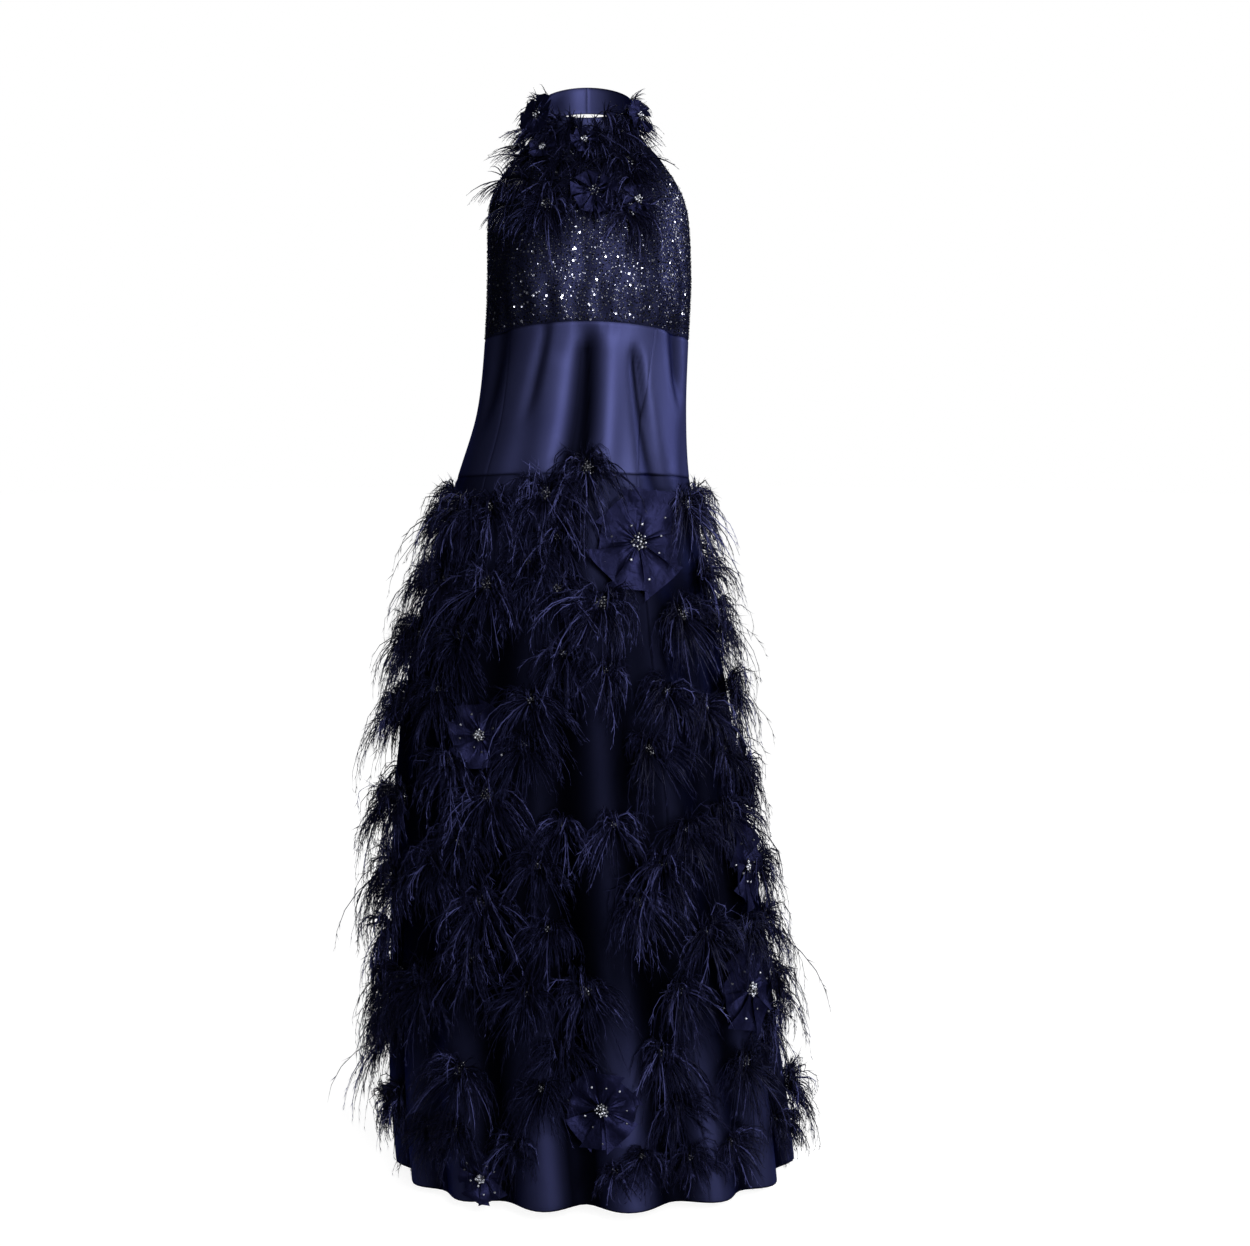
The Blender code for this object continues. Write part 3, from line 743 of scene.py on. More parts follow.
def panel_place(panel, across, up):
    """Bearing and height of points of a panel, half a seam gap inside each of its edges."""
    middle = np.full_like(across, panel.middle)
    rough = mix(panel.right(middle), panel.left(middle), across)
    height = mix(panel.base(rough), panel.top(rough), up)
    half_width = read_table(SECTIONS, height)[1]
    gap = np.degrees(SEAM_GAP / 2 / np.minimum(half_width, SEAM_RADIUS))
    bearing = mix(panel.right(height) + gap, panel.left(height) - gap, across)
    base = panel.base(bearing) + SEAM_GAP / 2
    top = panel.top(bearing) - SEAM_GAP / 2
    return bearing, mix(base, top, up)


def cloth_shell(panel, thickness, grid):
    """A thin panel of cloth on its solid's form, rolled in a little at its seams, with painted
    shade in its creases and folds and along its seams.
    """
    columns = stations(round(panel.width / grid) + 6, panel.width)
    rows = stations(round(panel.length / (grid * 1.5)) + 6, panel.length)
    bm = bmesh.new()
    bmesh.ops.create_grid(bm, x_segments=len(columns) - 1, y_segments=len(rows) - 1, size=0.5)
    raised = bmesh.ops.extrude_face_region(bm, geom=bm.faces[:])
    outside = {item for item in raised["geom"] if isinstance(item, bmesh.types.BMVert)}
    spots = np.array([(vert.co.x, vert.co.y, vert in outside) for vert in bm.verts])
    across = columns[np.rint((spots[:, 0] + 0.5) * (len(columns) - 1)).astype(int)]
    up = rows[np.rint((spots[:, 1] + 0.5) * (len(rows) - 1)).astype(int)]
    bearing, height = panel_place(panel, across, up)
    from_seam = np.minimum(
        np.minimum(across, 1.0 - across) * panel.width,
        np.minimum(up, 1.0 - up) * panel.length,
    )
    depth = SEAM_ROLL * np.exp(-(from_seam / ROLL_WIDTH) ** 2)
    depth += np.where(spots[:, 2] > 0.5, 0.0, thickness)
    points = cloth(bearing, height) - cloth_normal(bearing, height) * depth[:, None]
    for vert, point in zip(bm.verts, points):
        vert.co = point
    bm.verts.index_update()
    chart = bm.loops.layers.uv.new("weave")
    for face in bm.faces:
        for loop in face.loops:
            k = loop.vert.index
            loop[chart].uv = (across[k] * panel.width, up[k] * panel.length)
    bmesh.ops.recalc_face_normals(bm, faces=bm.faces[:])
    mesh = mesh_of(bm, panel.name + "_cloth", SHARP_SEAM)
    # Painted shade, stored as the points' shade: darker the deeper a crease or fold, and in a fine
    # line along each seam.
    painted_hollow_shade = crease_depth(bearing, height) / PAINTED_SHADE_CREASE
    painted_hollow_shade = painted_hollow_shade + fold_depth(bearing, height) / PAINTED_SHADE_FOLD
    from_cross_seam = np.minimum(up, 1.0 - up) * panel.length
    painted_hollow_shade += SEAM_PAINTED_SHADE * np.exp(-(from_seam / SEAM_LINE) ** 2)
    painted_hollow_shade += CROSS_SEAM_PAINTED_SHADE * np.exp(-(from_cross_seam / SEAM_LINE) ** 2)
    set_shade(mesh, np.clip(painted_hollow_shade, 0.0, 1.0))
    return mesh


def mesh_of(bm, name, sharp):
    """A smooth mesh from a bmesh, which keeps its folds sharper than an angle."""
    mesh = bpy.data.meshes.new(name)
    bm.to_mesh(mesh)
    bm.free()
    mesh.shade_smooth()
    mesh.set_sharp_from_angle(angle=math.radians(sharp))
    return mesh


def publish(name, mesh, material, replaced=()):
    """Link a finished mesh as a piece of the gown, riding on its body."""
    mesh.materials.append(material)
    piece = bpy.data.objects.new(name, mesh)
    bpy.context.scene.collection.objects.link(piece)
    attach(piece, "root")
    if replaced:
        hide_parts(*replaced)
    return piece


# Joined meshes

def array_mesh(name, points, triangles, quads=None):
    """A mesh from arrays of points, triangles and quads."""
    mesh = bpy.data.meshes.new(name)
    corners = triangles.ravel()
    starts = np.arange(len(triangles)) * 3
    if quads is not None:
        starts = np.concatenate((starts, len(corners) + np.arange(len(quads)) * 4))
        corners = np.concatenate((corners, quads.ravel()))
    mesh.vertices.add(len(points))
    mesh.vertices.foreach_set("co", points.astype(np.float32).ravel())
    mesh.loops.add(len(corners))
    mesh.loops.foreach_set("vertex_index", corners.astype(np.int32))
    mesh.polygons.add(len(starts))
    mesh.polygons.foreach_set("loop_start", starts.astype(np.int32))
    mesh.update(calc_edges=True)
    mesh.shade_smooth()
    return mesh


def set_shade(mesh, values):
    """Store one number a point, which the material reads as its shade."""
    shade = mesh.attributes.new("shade", "FLOAT", "POINT")
    shade.data.foreach_set("value", values.astype(np.float32))


def bead_shape():
    """Points and triangles of a small round bead of radius one."""
    bm = bmesh.new()
    bmesh.ops.create_icosphere(bm, subdivisions=1, radius=1.0)
    return shape_arrays(bm)


def sequin_shape():
    """Points and triangles of a cupped six-sided sequin of radius one."""
    bm = bmesh.new()
    bmesh.ops.create_circle(bm, cap_ends=True, segments=6, radius=1.0)
    centre = bmesh.ops.poke(bm, faces=bm.faces[:])["verts"][0]
    centre.co.z = -0.16
    return shape_arrays(bm)


def shape_arrays(bm):
    bm.verts.index_update()
    points = np.array([vert.co for vert in bm.verts])
    triangles = np.array([[vert.index for vert in face.verts] for face in bm.faces])
    bm.free()
    return points, triangles


def scattered(shape, places, axes, scales):
    """Copies of a shape, each on its own place, axes and scale, as joined arrays."""
    points, triangles = shape
    turned = np.einsum("nij,pj->npi", axes, points) * scales[:, None, None]
    joined = turned + places[:, None, :]
    offsets = np.arange(len(places)) * len(points)
    faces = triangles[None] + offsets[:, None, None]
    return joined.reshape(-1, 3), faces.reshape(-1, 3)


def axes_along(normals, spin):
    """Right-handed axes whose third one is a normal, turned about it by an angle."""
    other = np.where(np.abs(normals[:, 2:]) > 0.9, (1.0, 0.0, 0.0), (0.0, 0.0, 1.0))
    first = unit(np.cross(other, normals))
    second = np.cross(normals, first)
    cos, sin = np.cos(spin)[:, None], np.sin(spin)[:, None]
    return np.stack((first * cos + second * sin, second * cos - first * sin, normals), axis=2)


# Seats on the cloth

def seat_on(bearing, height):
    """Place and axes of a thing that is sewn on the cloth."""
    spots = np.array((bearing + 4.0, bearing - 4.0, bearing, bearing, bearing))
    levels = np.array((height, height, height + 0.008, height - 0.008, height))
    ring = form(spots, levels)
    out = unit(np.cross(ring[0] - ring[1], ring[2] - ring[3]))
    up = unit(np.array((0.0, 0.0, 1.0)) - out * out[2])
    return Seat(cloth(spots, levels)[4], np.cross(up, out), up, out)


def rise_over(seat, x, y):
    """How high the cloth stands over a seat's plane at some points of it."""
    flat = seat.origin + x[:, None] * seat.side + y[:, None] * seat.up
    rise = np.zeros_like(x)
    for _ in range(4):
        bearing, height, _ = nearest_place(flat + rise[:, None] * seat.out)
        skin = cloth(bearing, height)
        normal = cloth_normal(bearing, height)
        gap = np.einsum("ij,ij->i", skin - flat - rise[:, None] * seat.out, normal)
        facing = np.maximum(normal @ seat.out, 0.3)
        rise += gap / facing * 0.8
    return rise


def disc_rise(seat, radius):
    """The highest that the cloth stands inside a disc on a seat."""
    angle = np.linspace(0.0, math.tau, 12, endpoint=False)
    x = np.concatenate(((0.0,), np.cos(angle) * radius, np.cos(angle) * radius / 2))
    y = np.concatenate(((0.0,), np.sin(angle) * radius, np.sin(angle) * radius / 2))
    return rise_over(seat, x, y).max()


# Feathers

def strand_paths(start, heading, down, lengths, bends):
    """Points along strands that leave in a heading and bend over towards their weight."""
    steps = (np.arange(STATIONS) + 0.5) / STATIONS
    turn = np.clip(bends[:, None] * steps[None] ** 1.1, 0.0, 0.97)[..., None]
    run = unit(heading[:, None] * (1.0 - turn) + down[:, None] * turn)
    moves = run * (lengths / STATIONS)[:, None, None]
    path = np.cumsum(moves, axis=1) + start[:, None]
    return np.concatenate((start[:, None], path), axis=1)


def strand_arrays(paths, radii, roll):
    """Flattened three-sided tapered tubes along paths, closed at both ends."""
    count = len(paths)
    tangent = unit(np.gradient(paths, axis=1))
    first = unit(roll[:, None] - tangent * np.sum(roll[:, None] * tangent, 2, keepdims=True))
    second = np.cross(tangent, first)
    taper = np.array(TAPER)
    rings = []
    for k in range(3):
        angle = math.tau * k / 3
        offset = first * math.cos(angle) + second * (math.sin(angle) * 0.5)
        rings.append(paths[:, :-1] + offset[:, :-1] * (radii[:, None] * taper)[..., None])
    body = np.stack(rings, axis=2).reshape(count, -1, 3)
    points = np.concatenate((body, paths[:, -1:]), axis=1)
    each = points.shape[1]
    quads = np.array([(3 * row + k, 3 * row + (k + 1) % 3, 3 * row + 3 + (k + 1) % 3,
                       3 * row + 3 + k) for row in range(STATIONS - 1) for k in range(3)])
    tip = 3 * (STATIONS - 1)
    ends = [(tip + k, tip + (k + 1) % 3, each - 1) for k in range(3)] + [(2, 1, 0)]
    shift = (np.arange(count) * each)[:, None, None]
    along = np.append(np.repeat(np.arange(STATIONS) / STATIONS, 3), 1.0)
    return (points.reshape(-1, 3), (np.array(ends)[None] + shift).reshape(-1, 3),
            (quads[None] + shift).reshape(-1, 4), np.tile(along, count))


def barb_arrays(rng, paths, lengths, count, reach):
    """Fine flat barbs that stand off strands on both sides."""
    strands = len(paths)
    share = rng.uniform(0.12, 0.97, (strands, count)) * (STATIONS - 0.001)
    index = share.astype(int)
    part = (share - index)[..., None]
    row = np.arange(strands)[:, None]
    root = paths[row, index] * (1 - part) + paths[row, index + 1] * part
    tangent = unit(paths[row, index + 1] - paths[row, index])
    side = rng.normal(0.0, 1.0, (strands, count, 3))
    side = unit(side - tangent * np.sum(side * tangent, 2, keepdims=True))
    lean = rng.uniform(1.8, 4.6, (strands, count, 1))
    size = rng.uniform(0.45, 1.0, (strands, count, 1)) * reach
    size = size * np.minimum(lengths / 0.09, 1.0)[:, None, None]
    size = size * np.clip(1.25 - 0.9 * (share / STATIONS)[..., None], 0.3, 1.0)
    tip = root + unit(side + tangent * lean) * size
    half = tangent * BARB_WIDTH / 2
    points = np.stack((root - half, root + half, tip), axis=2).reshape(-1, 3)
    faces = np.arange(len(points)).reshape(-1, 3)
    along = np.repeat((share / STATIONS).ravel(), 3)
    # Painted light: each barb's tip is painted a little lighter than its root.
    along[2::3] += 0.12
    return points, faces, np.minimum(along, 1.0)


def join_parts(parts):
    """Join arrays of (points, triangles, quads, shade) into one."""
    points, triangles, quads, shades, total = [], [], [], [], 0
    for part in parts:
        points.append(part[0])
        triangles.append(part[1] + total)
        if part[2] is not None:
            quads.append(part[2] + total)
        shades.append(part[3])
        total += len(part[0])
    four = np.concatenate(quads) if quads else None
    return np.concatenate(points), np.concatenate(triangles), four, np.concatenate(shades)


def burst_strands(rng, seat, base, size, sizes):
    """Paths of one burst's strands: fronds that fan out, arch over and hang down in wisps."""
    count = int(sizes.strands * (0.4 + 0.6 * size))
    turn = np.linspace(-180.0, 180.0, FRONDS, endpoint=False) + rng.normal(0.0, 11.0, FRONDS)
    hang = 0.5 - 0.5 * np.cos(np.radians(turn))
    room = np.clip((seat.origin[2] + NECK_HEIGHT) / 0.15, 0.6, 1.0)
    length = mix(0.088, 0.150 * room, hang ** 0.8) * rng.uniform(0.72, 1.06, FRONDS) * size
    lift = np.radians(rng.uniform(10.0, 54.0, FRONDS))
    bend = mix(1.34, 0.96, hang) * rng.uniform(0.84, 1.16, FRONDS)
    own = rng.integers(0, FRONDS, count)
    own[:FRONDS] = np.arange(FRONDS)
    lean = rng.normal(0.0, 0.22)

    def run(turn, lift, length, bend, start):
        angle = np.radians(turn)
        flat = np.sin(angle)[:, None] * seat.side + np.cos(angle)[:, None] * seat.up
        heading = flat * np.cos(lift)[:, None] + seat.out * np.sin(lift)[:, None]
        sideways = 0.25 * np.sin(angle)[:, None] + lean
        down = unit(-seat.up - seat.out * 0.22 + sideways * seat.side)
        return strand_paths(start + flat * 0.006 * size, heading, down, length, bend)

    centre = seat.origin + seat.out * (base + 0.0030 * size)
    middle = run(turn, lift, length, bend, np.repeat(centre[None], FRONDS, 0))
    spread_turn = turn[own] + rng.normal(0.0, 14.0, count)
    spread_lift = lift[own] + rng.normal(0.0, 0.16, count)
    spread_length = length[own] * rng.uniform(0.34, 1.05, count)
    spread_bend = bend[own] * rng.uniform(0.80, 1.20, count)
    start = centre + seat.out * rng.uniform(-0.004, 0.004, count)[:, None] * size
    paths = run(spread_turn, spread_lift, spread_length, spread_bend, start)
    steps = np.linspace(0.0, 1.0, STATIONS + 1)
    pull = (rng.uniform(0.15, 0.75, count)[:, None] * steps ** 1.2)[..., None]
    scale = (spread_length / length[own])[:, None, None]
    guide = centre + (middle[own] - centre) * scale
    paths = paths * (1.0 - pull) + guide * pull
    across = unit(np.cross(paths[:, -1] - paths[:, 0], seat.out))[:, None]
    slow = np.sin(2.6 * steps) * rng.normal(0.0, 0.0045, (count, 1))
    quick = np.sin(6.0 * steps) * rng.normal(0.0, 0.0016, (count, 1))
    paths = paths + across * ((slow + quick) * size)[..., None]
    clear = rng.uniform(0.002, 0.011, count)[:, None] * np.linspace(0.4, 1.0, STATIONS + 1)
    flat = lift_clear(paths.reshape(-1, 3), clear.ravel())
    return flat.reshape(paths.shape), spread_length


def feather_parts(rng, seat, paths, lengths, sizes, reach=BARB_REACH):
    """Arrays of strands and their barbs along some paths."""
    count = len(paths)
    radii = sizes.strand * rng.uniform(0.6, 1.2, count)
    wide = unit(np.cross(paths[:, 3] - paths[:, 1], seat.out))
    roll = unit(wide + rng.normal(0.0, 0.35, (count, 3)))
    points, triangles, quads, along = strand_arrays(paths, radii, roll)
    # Painted highlight: a few strands, chosen at random, are painted much lighter, standing for
    # strands that catch the light, while the rest keep a dark tone. Painted light also grows
    # towards each tip.
    tone = rng.uniform(0.30, 1.0) * rng.random(count) ** 4
    shade = along * TIP_PAINTED_LIGHT + np.repeat(tone, len(points) // count)
    parts = [(points, triangles, quads, shade)]
    if sizes.barbs:
        points, triangles, along = barb_arrays(rng, paths, lengths, sizes.barbs, reach)
        shade = along * TIP_PAINTED_LIGHT + np.repeat(tone, 3 * sizes.barbs)
        parts.append((points, triangles, None, shade))
    return parts


# Beads

def dome_beads(rng, seat, base, radius, bead):
    """Places, axes, scales and shades of the beads on a dome."""
    count = max(int(DOME_AREA * (radius / bead) ** 2 * BEAD_COVER), FEWEST_BEADS)
    k = np.arange(count) + 0.5
    height = 1.0 - k / count * 0.92
    ring = np.sqrt(1.0 - height * height)
    angle = k * math.pi * (3.0 - math.sqrt(5.0))
    local = np.stack((ring * np.cos(angle), ring * np.sin(angle), height * 0.8), axis=1)
    places = (seat.origin + local[:, :1] * radius * seat.side + local[:, 1:2] * radius * seat.up
              + (base + local[:, 2:] * radius) * seat.out)
    scales = bead * rng.uniform(0.8, 1.15, count)
    shade = rng.uniform(0.0, 0.45, count)
    shade[rng.random(count) < 0.03] = 1.0
    return places, scales, shade


def beads_mesh(name, places, scales, shades, rng):
    spin = rng.uniform(0.0, math.tau, len(places))
    axes = axes_along(unit(rng.normal(0.0, 1.0, (len(places), 3))), spin)
    shape = bead_shape()
    points, triangles = scattered(shape, places, axes, scales)
    mesh = array_mesh(name, points, triangles)
    set_shade(mesh, np.repeat(shades, len(shape[0])))
    return mesh


# Materials

def new_material(name):
    material = bpy.data.materials.new(name)
    material.use_nodes = True
    tree = material.node_tree
    return material, tree, tree.nodes["Principled BSDF"]


def set_sockets(made, **values):
    """Set a node's sockets by their names, with a low line for each space."""
    for key, value in values.items():
        made.inputs[key.replace("_", " ")].default_value = value


def node(tree, kind, **values):
    """Add a node and set its properties, or the sockets that a name with a capital tells."""
    made = tree.nodes.new(kind)
    for key, value in values.items():
        if key[0].isupper():
            set_sockets(made, **{key: value})
        else:
            setattr(made, key, value)
    return made


def join(tree, *pairs):
    """Link each output to its input."""
    for output, socket in pairs:
        tree.links.new(output, socket)


def ramp(tree, source, low, high, start=0.0, end=1.0):
    """Turn a grey value into a colour between two others."""
    made = node(tree, "ShaderNodeValToRGB")
    made.color_ramp.elements[0].position = start
    made.color_ramp.elements[0].color = (*low, 1.0)
    made.color_ramp.elements[1].position = end
    made.color_ramp.elements[1].color = (*high, 1.0)
    tree.links.new(source, made.inputs["Fac"])
    return made.outputs["Color"]


def scaled(colour, factor):
    return tuple(min(channel * factor, 1.0) for channel in colour)


def weave(tree, shader, warp, weft, strength, distance):
    """Fine threads in relief, from the panel's own chart in metres."""
    chart = node(tree, "ShaderNodeUVMap", uv_map="weave")
    stretch = node(tree, "ShaderNodeMapping", Scale=(warp, weft, 1.0))
    grain = node(tree, "ShaderNodeTexNoise", Scale=1.0, Detail=2.0)
    bump = node(tree, "ShaderNodeBump", Strength=strength, Distance=distance)
    join(
        tree,
        (chart.outputs["UV"], stretch.inputs["Vector"]),
        (stretch.outputs["Vector"], grain.inputs["Vector"]),
        (grain.outputs["Fac"], bump.inputs["Height"]),
        (bump.outputs["Normal"], shader.inputs["Normal"]),
    )
    return chart, grain


def satin_finish(colours):
    """Heavy satin with a soft broad lustre and long floats."""
    material, tree, shader, tone = lustre("navy_satin", colours.satin_deep, colours.satin)
    tree.links.new(tone, shader.inputs["Base Color"])
    return material


def shaded_skirt_finish(colours):
    """The same satin in the skirt, with painted shade under the feathers, darker there than at the
    hip seam and hem.
    """
    material, tree, shader, tone = lustre("skirt_satin_painted_shade", colours.satin_deep, colours.satin)
    place = node(tree, "ShaderNodeTexCoord")
    axes = node(tree, "ShaderNodeSeparateXYZ")
    # Painted shade: the colour is cut to a twelfth under the feathers, to half at the hip seam,
    # and back to full at the hem.
    hip = node(tree, "ShaderNodeMapRange", interpolation_type="SMOOTHSTEP",
               From_Min=0.86 - NECK_HEIGHT, From_Max=1.02 - NECK_HEIGHT, To_Min=0.08, To_Max=0.50)
    foot = node(tree, "ShaderNodeMapRange", interpolation_type="SMOOTHSTEP",
                From_Min=0.06 - NECK_HEIGHT, From_Max=0.36 - NECK_HEIGHT, To_Min=1.10, To_Max=0.0)
    both = node(tree, "ShaderNodeMath", operation="ADD")
    dim = node(tree, "ShaderNodeVectorMath", operation="SCALE")
    join(
        tree,
        (place.outputs["Object"], axes.inputs["Vector"]),
        (axes.outputs["Z"], hip.inputs["Value"]),
        (axes.outputs["Z"], foot.inputs["Value"]),
        (hip.outputs["Result"], both.inputs[0]),
        (foot.outputs["Result"], both.inputs[1]),
        (tone, dim.inputs[0]),
        (both.outputs["Value"], dim.inputs["Scale"]),
        (dim.outputs["Vector"], shader.inputs["Base Color"]),
    )
    return material


def lustre(name, deep, light):
    """A satin between two tones, with painted shade where its points' shade says, in creases,
    folds and along seams, and with its weave in relief.
    """
    material, tree, shader = new_material(name)
    grain = weave(tree, shader, 2600.0, 240.0, 0.22, 0.0002)[1]
    cloud = node(tree, "ShaderNodeTexNoise", Scale=9.0, Detail=3.0)
    place = node(tree, "ShaderNodeTexCoord")
    even = ramp(tree, cloud.outputs["Fac"], deep, light, 0.30, 0.70)
    shade = node(tree, "ShaderNodeAttribute", attribute_name="shade")
    # Painted shade: the colour falls to a twentieth where the stored shade is full.
    painted_hollow_shade = node(tree, "ShaderNodeMapRange", To_Min=1.0, To_Max=0.05)
    dim = node(tree, "ShaderNodeVectorMath", operation="SCALE")
    rough = node(tree, "ShaderNodeMapRange", To_Min=0.48, To_Max=0.60)
    join(
        tree,
        (place.outputs["Object"], cloud.inputs["Vector"]),
        (shade.outputs["Fac"], painted_hollow_shade.inputs["Value"]),
        (even, dim.inputs[0]),
        (painted_hollow_shade.outputs["Result"], dim.inputs["Scale"]),
        (grain.outputs["Fac"], rough.inputs["Value"]),
        (rough.outputs["Result"], shader.inputs["Roughness"]),
    )
    set_sockets(shader, Metallic=0.97, Specular_Tint=LUSTRE_TINT)
    return material, tree, shader, dim.outputs["Vector"]


def net_finish(colours):
    """Sheer dark net over satin, with tiny dots of paillettes between the real ones."""
    material, tree, shader = new_material("sequin_net")
    chart, grain = weave(tree, shader, 900.0, 900.0, 0.35, 0.0003)
    cells = node(tree, "ShaderNodeTexVoronoi", Scale=420.0)
    dots = node(tree, "ShaderNodeMath", operation="LESS_THAN")
    dots.inputs[1].default_value = 0.34
    under = ramp(tree, grain.outputs["Fac"], scaled(colours.satin_deep, 0.18),
                 scaled(colours.satin, 0.36), 0.35, 0.75)
    cover = node(tree, "ShaderNodeMix", data_type="RGBA")
    cover.inputs["B"].default_value = (*colours.net, 1.0)
    join(
        tree,
        (chart.outputs["UV"], cells.inputs["Vector"]),
        (cells.outputs["Distance"], dots.inputs[0]),
        (dots.outputs["Value"], cover.inputs["Factor"]),
        (under, cover.inputs["A"]),
        (cover.outputs["Result"], shader.inputs["Base Color"]),
    )
    set_sockets(shader, Roughness=0.50, Metallic=0.80, Specular_Tint=LUSTRE_TINT)
    return material


def taffeta_finish(colours):
    """Crisp taffeta with a dry rustle of small creases, painted darker in their hollows."""
    material, tree, shader = new_material("navy_taffeta")
    place = node(tree, "ShaderNodeTexCoord")
    rumple = node(tree, "ShaderNodeTexNoise", Scale=70.0, Detail=4.0, Distortion=0.8)
    threads = node(tree, "ShaderNodeTexNoise", Scale=1600.0, Detail=1.0)
    # Painted shade with a random mottle: the colour darkens where the rumple's relief sinks, in
    # the hollows of its creases.
    tone = ramp(tree, rumple.outputs["Fac"], scaled(colours.taffeta, 0.62), colours.taffeta,
                0.35, 0.68)
    fine = node(tree, "ShaderNodeBump", Strength=0.20, Distance=0.0002)
    coarse = node(tree, "ShaderNodeBump", Strength=0.75, Distance=0.0026)
    join(
        tree,
        (place.outputs["Object"], rumple.inputs["Vector"]),
        (place.outputs["Object"], threads.inputs["Vector"]),
        (tone, shader.inputs["Base Color"]),
        (threads.outputs["Fac"], fine.inputs["Height"]),
        (rumple.outputs["Fac"], coarse.inputs["Height"]),
        (fine.outputs["Normal"], coarse.inputs["Normal"]),
        (coarse.outputs["Normal"], shader.inputs["Normal"]),
    )
    set_sockets(shader, Roughness=0.50, Metallic=0.80, Specular_Tint=LUSTRE_TINT)
    return material


def shaded_finish(name, low, high, middle=None):
    """A finish whose colour follows the shade stored on its points."""
    material, tree, shader = new_material(name)
    shade = node(tree, "ShaderNodeAttribute", attribute_name="shade")
    mottle = node(tree, "ShaderNodeTexNoise", Scale=260.0, Detail=1.0)
    place = node(tree, "ShaderNodeTexCoord")
    vary = node(tree, "ShaderNodeMath", operation="MULTIPLY_ADD")
    vary.inputs[1].default_value = 0.16
    tone = ramp(tree, vary.outputs["Value"], low, high, 0.08, 1.0)
    if middle:
        tone.node.color_ramp.elements.new(0.55).color = (*middle, 1.0)
    join(
        tree,
        (place.outputs["Object"], mottle.inputs["Vector"]),
        (mottle.outputs["Fac"], vary.inputs[0]),
        (shade.outputs["Fac"], vary.inputs[2]),
        (tone, shader.inputs["Base Color"]),
    )
    return material, shader


def feather_finish(colours):
    """Ostrich strands, near black at the root with painted shade and navy at the tip with painted
    light.
    """
    material, shader = shaded_finish(
        "ostrich_feather", colours.feather_root_shade, colours.feather_tip_highlight, colours.feather)
    set_sockets(shader, Roughness=0.40, Specular_IOR_Level=0.22, Specular_Tint=FEATHER_TINT)
    return material


def sequin_finish(colours):
    """Metallic sequins from black through navy to silver."""
    material, shader = shaded_finish("metal_sequin", colours.sequin_dark, colours.sequin)
    set_sockets(shader, Roughness=0.20, Metallic=0.90)
    return material


def bead_finish(colours):
    """Glass beads, black and navy with a few in silver."""
    material, shader = shaded_finish("glass_bead", colours.bead_dark, colours.bead)
    set_sockets(shader, Roughness=0.12, Metallic=0.35, Coat_Weight=0.8, Coat_Roughness=0.06)
    return material


FINISHES = {}


def finish_of(context, kind):
    """The gown's material of a kind, made once."""
    makers = {
        "satin": satin_finish,
        "skirt": shaded_skirt_finish,
        "sequin_net": net_finish,
        "taffeta": taffeta_finish,
        "feather": feather_finish,
        "sequin": sequin_finish,
        "bead": bead_finish,
    }
    if kind not in FINISHES:
        FINISHES[kind] = makers[kind](context.scene.gown_colours)
    return FINISHES[kind]


# Operators

class GOWN_OT_cloth(bpy.types.Operator):
    """Lay the thin satin and net panels over the gown's form"""

    bl_idname = "gown.cloth"
    bl_label = "Cloth panels"

    def execute(self, context):
        sizes = context.scene.gown_sizes
        for panel in panels():
            skirt = panel.name.startswith("skirt")
            fine = SKIRT_GRID if skirt else BODICE_GRID
            mesh = cloth_shell(panel, sizes.shell, sizes.grid * fine)
            # The skirt's panels take the copy of the satin with painted shade under the feathers.
            kind = "skirt" if skirt else panel.slot
            piece = publish(panel.name + "_cloth", mesh, finish_of(context, kind),
                            (panel.name,))
        return {"FINISHED"}


class GOWN_OT_sequins(bpy.types.Operator):
    """Sew sequins all over the bodice"""

    bl_idname = "gown.sequins"
    bl_label = "Sequins"

    def execute(self, context):
        sizes = context.scene.gown_sizes
        rng = np.random.default_rng(11)
        gap = sizes.sequin_gap
        bearings, heights = [], []
        for level in np.arange(EMPIRE_SIDE, COLLAR_BASE, gap * ROW_SHARE):
            half_width = read_table(SECTIONS, np.array((level,)))[1][0]
            step = math.degrees(gap / (half_width * ROW_SHARE))
            ring = np.arange(-180.0, 180.0, step)
            bearings.append(ring + rng.uniform(-SCATTER, SCATTER, len(ring)) * step)
            heights.append(level + rng.uniform(-SCATTER, SCATTER, len(ring)) * gap)
        bearing, height = np.concatenate(bearings), np.concatenate(heights)
        front = np.abs(bearing) < 90.0
        top = np.where(front, collar_base(bearing), back_band(bearing)) - 0.003
        side = np.where(front, armhole_left(height) - 1.2, 180.0)
        worn = (height < top) & (height > empire_seam(bearing) + 0.002) & (np.abs(bearing) < side)
        worn &= rng.random(len(bearing)) < SEQUIN_COVER
        bearing, height = bearing[worn], height[worn]
        normals = cloth_normal(bearing, height)
        tilt = np.where(rng.random(len(bearing)) < 0.2, 0.30, 0.13)[:, None]
        facing = unit(normals + rng.normal(0.0, 1.0, normals.shape) * tilt)
        places = cloth(bearing, height) + normals * SEQUIN_LIFT
        kind = rng.random(len(bearing))
        scales = sizes.sequin * rng.uniform(0.75, 1.2, len(bearing))
        scales *= 1.0 + 0.5 * (kind > SEQUIN_SHARES[-1])
        shade = np.select([kind < share for share in SEQUIN_SHARES], SEQUIN_TONES, SILVER_TONE)
        shade = shade + rng.uniform(0.0, 0.05, len(bearing))
        shape = sequin_shape()
        spin = rng.uniform(0.0, math.tau, len(bearing))
        points, triangles = scattered(shape, places, axes_along(facing, spin), scales)
        mesh = array_mesh("bodice_sequins", points, triangles)
        set_shade(mesh, np.repeat(shade, len(shape[0])))
        publish("bodice_sequins", mesh, finish_of(context, "sequin"))
        return {"FINISHED"}


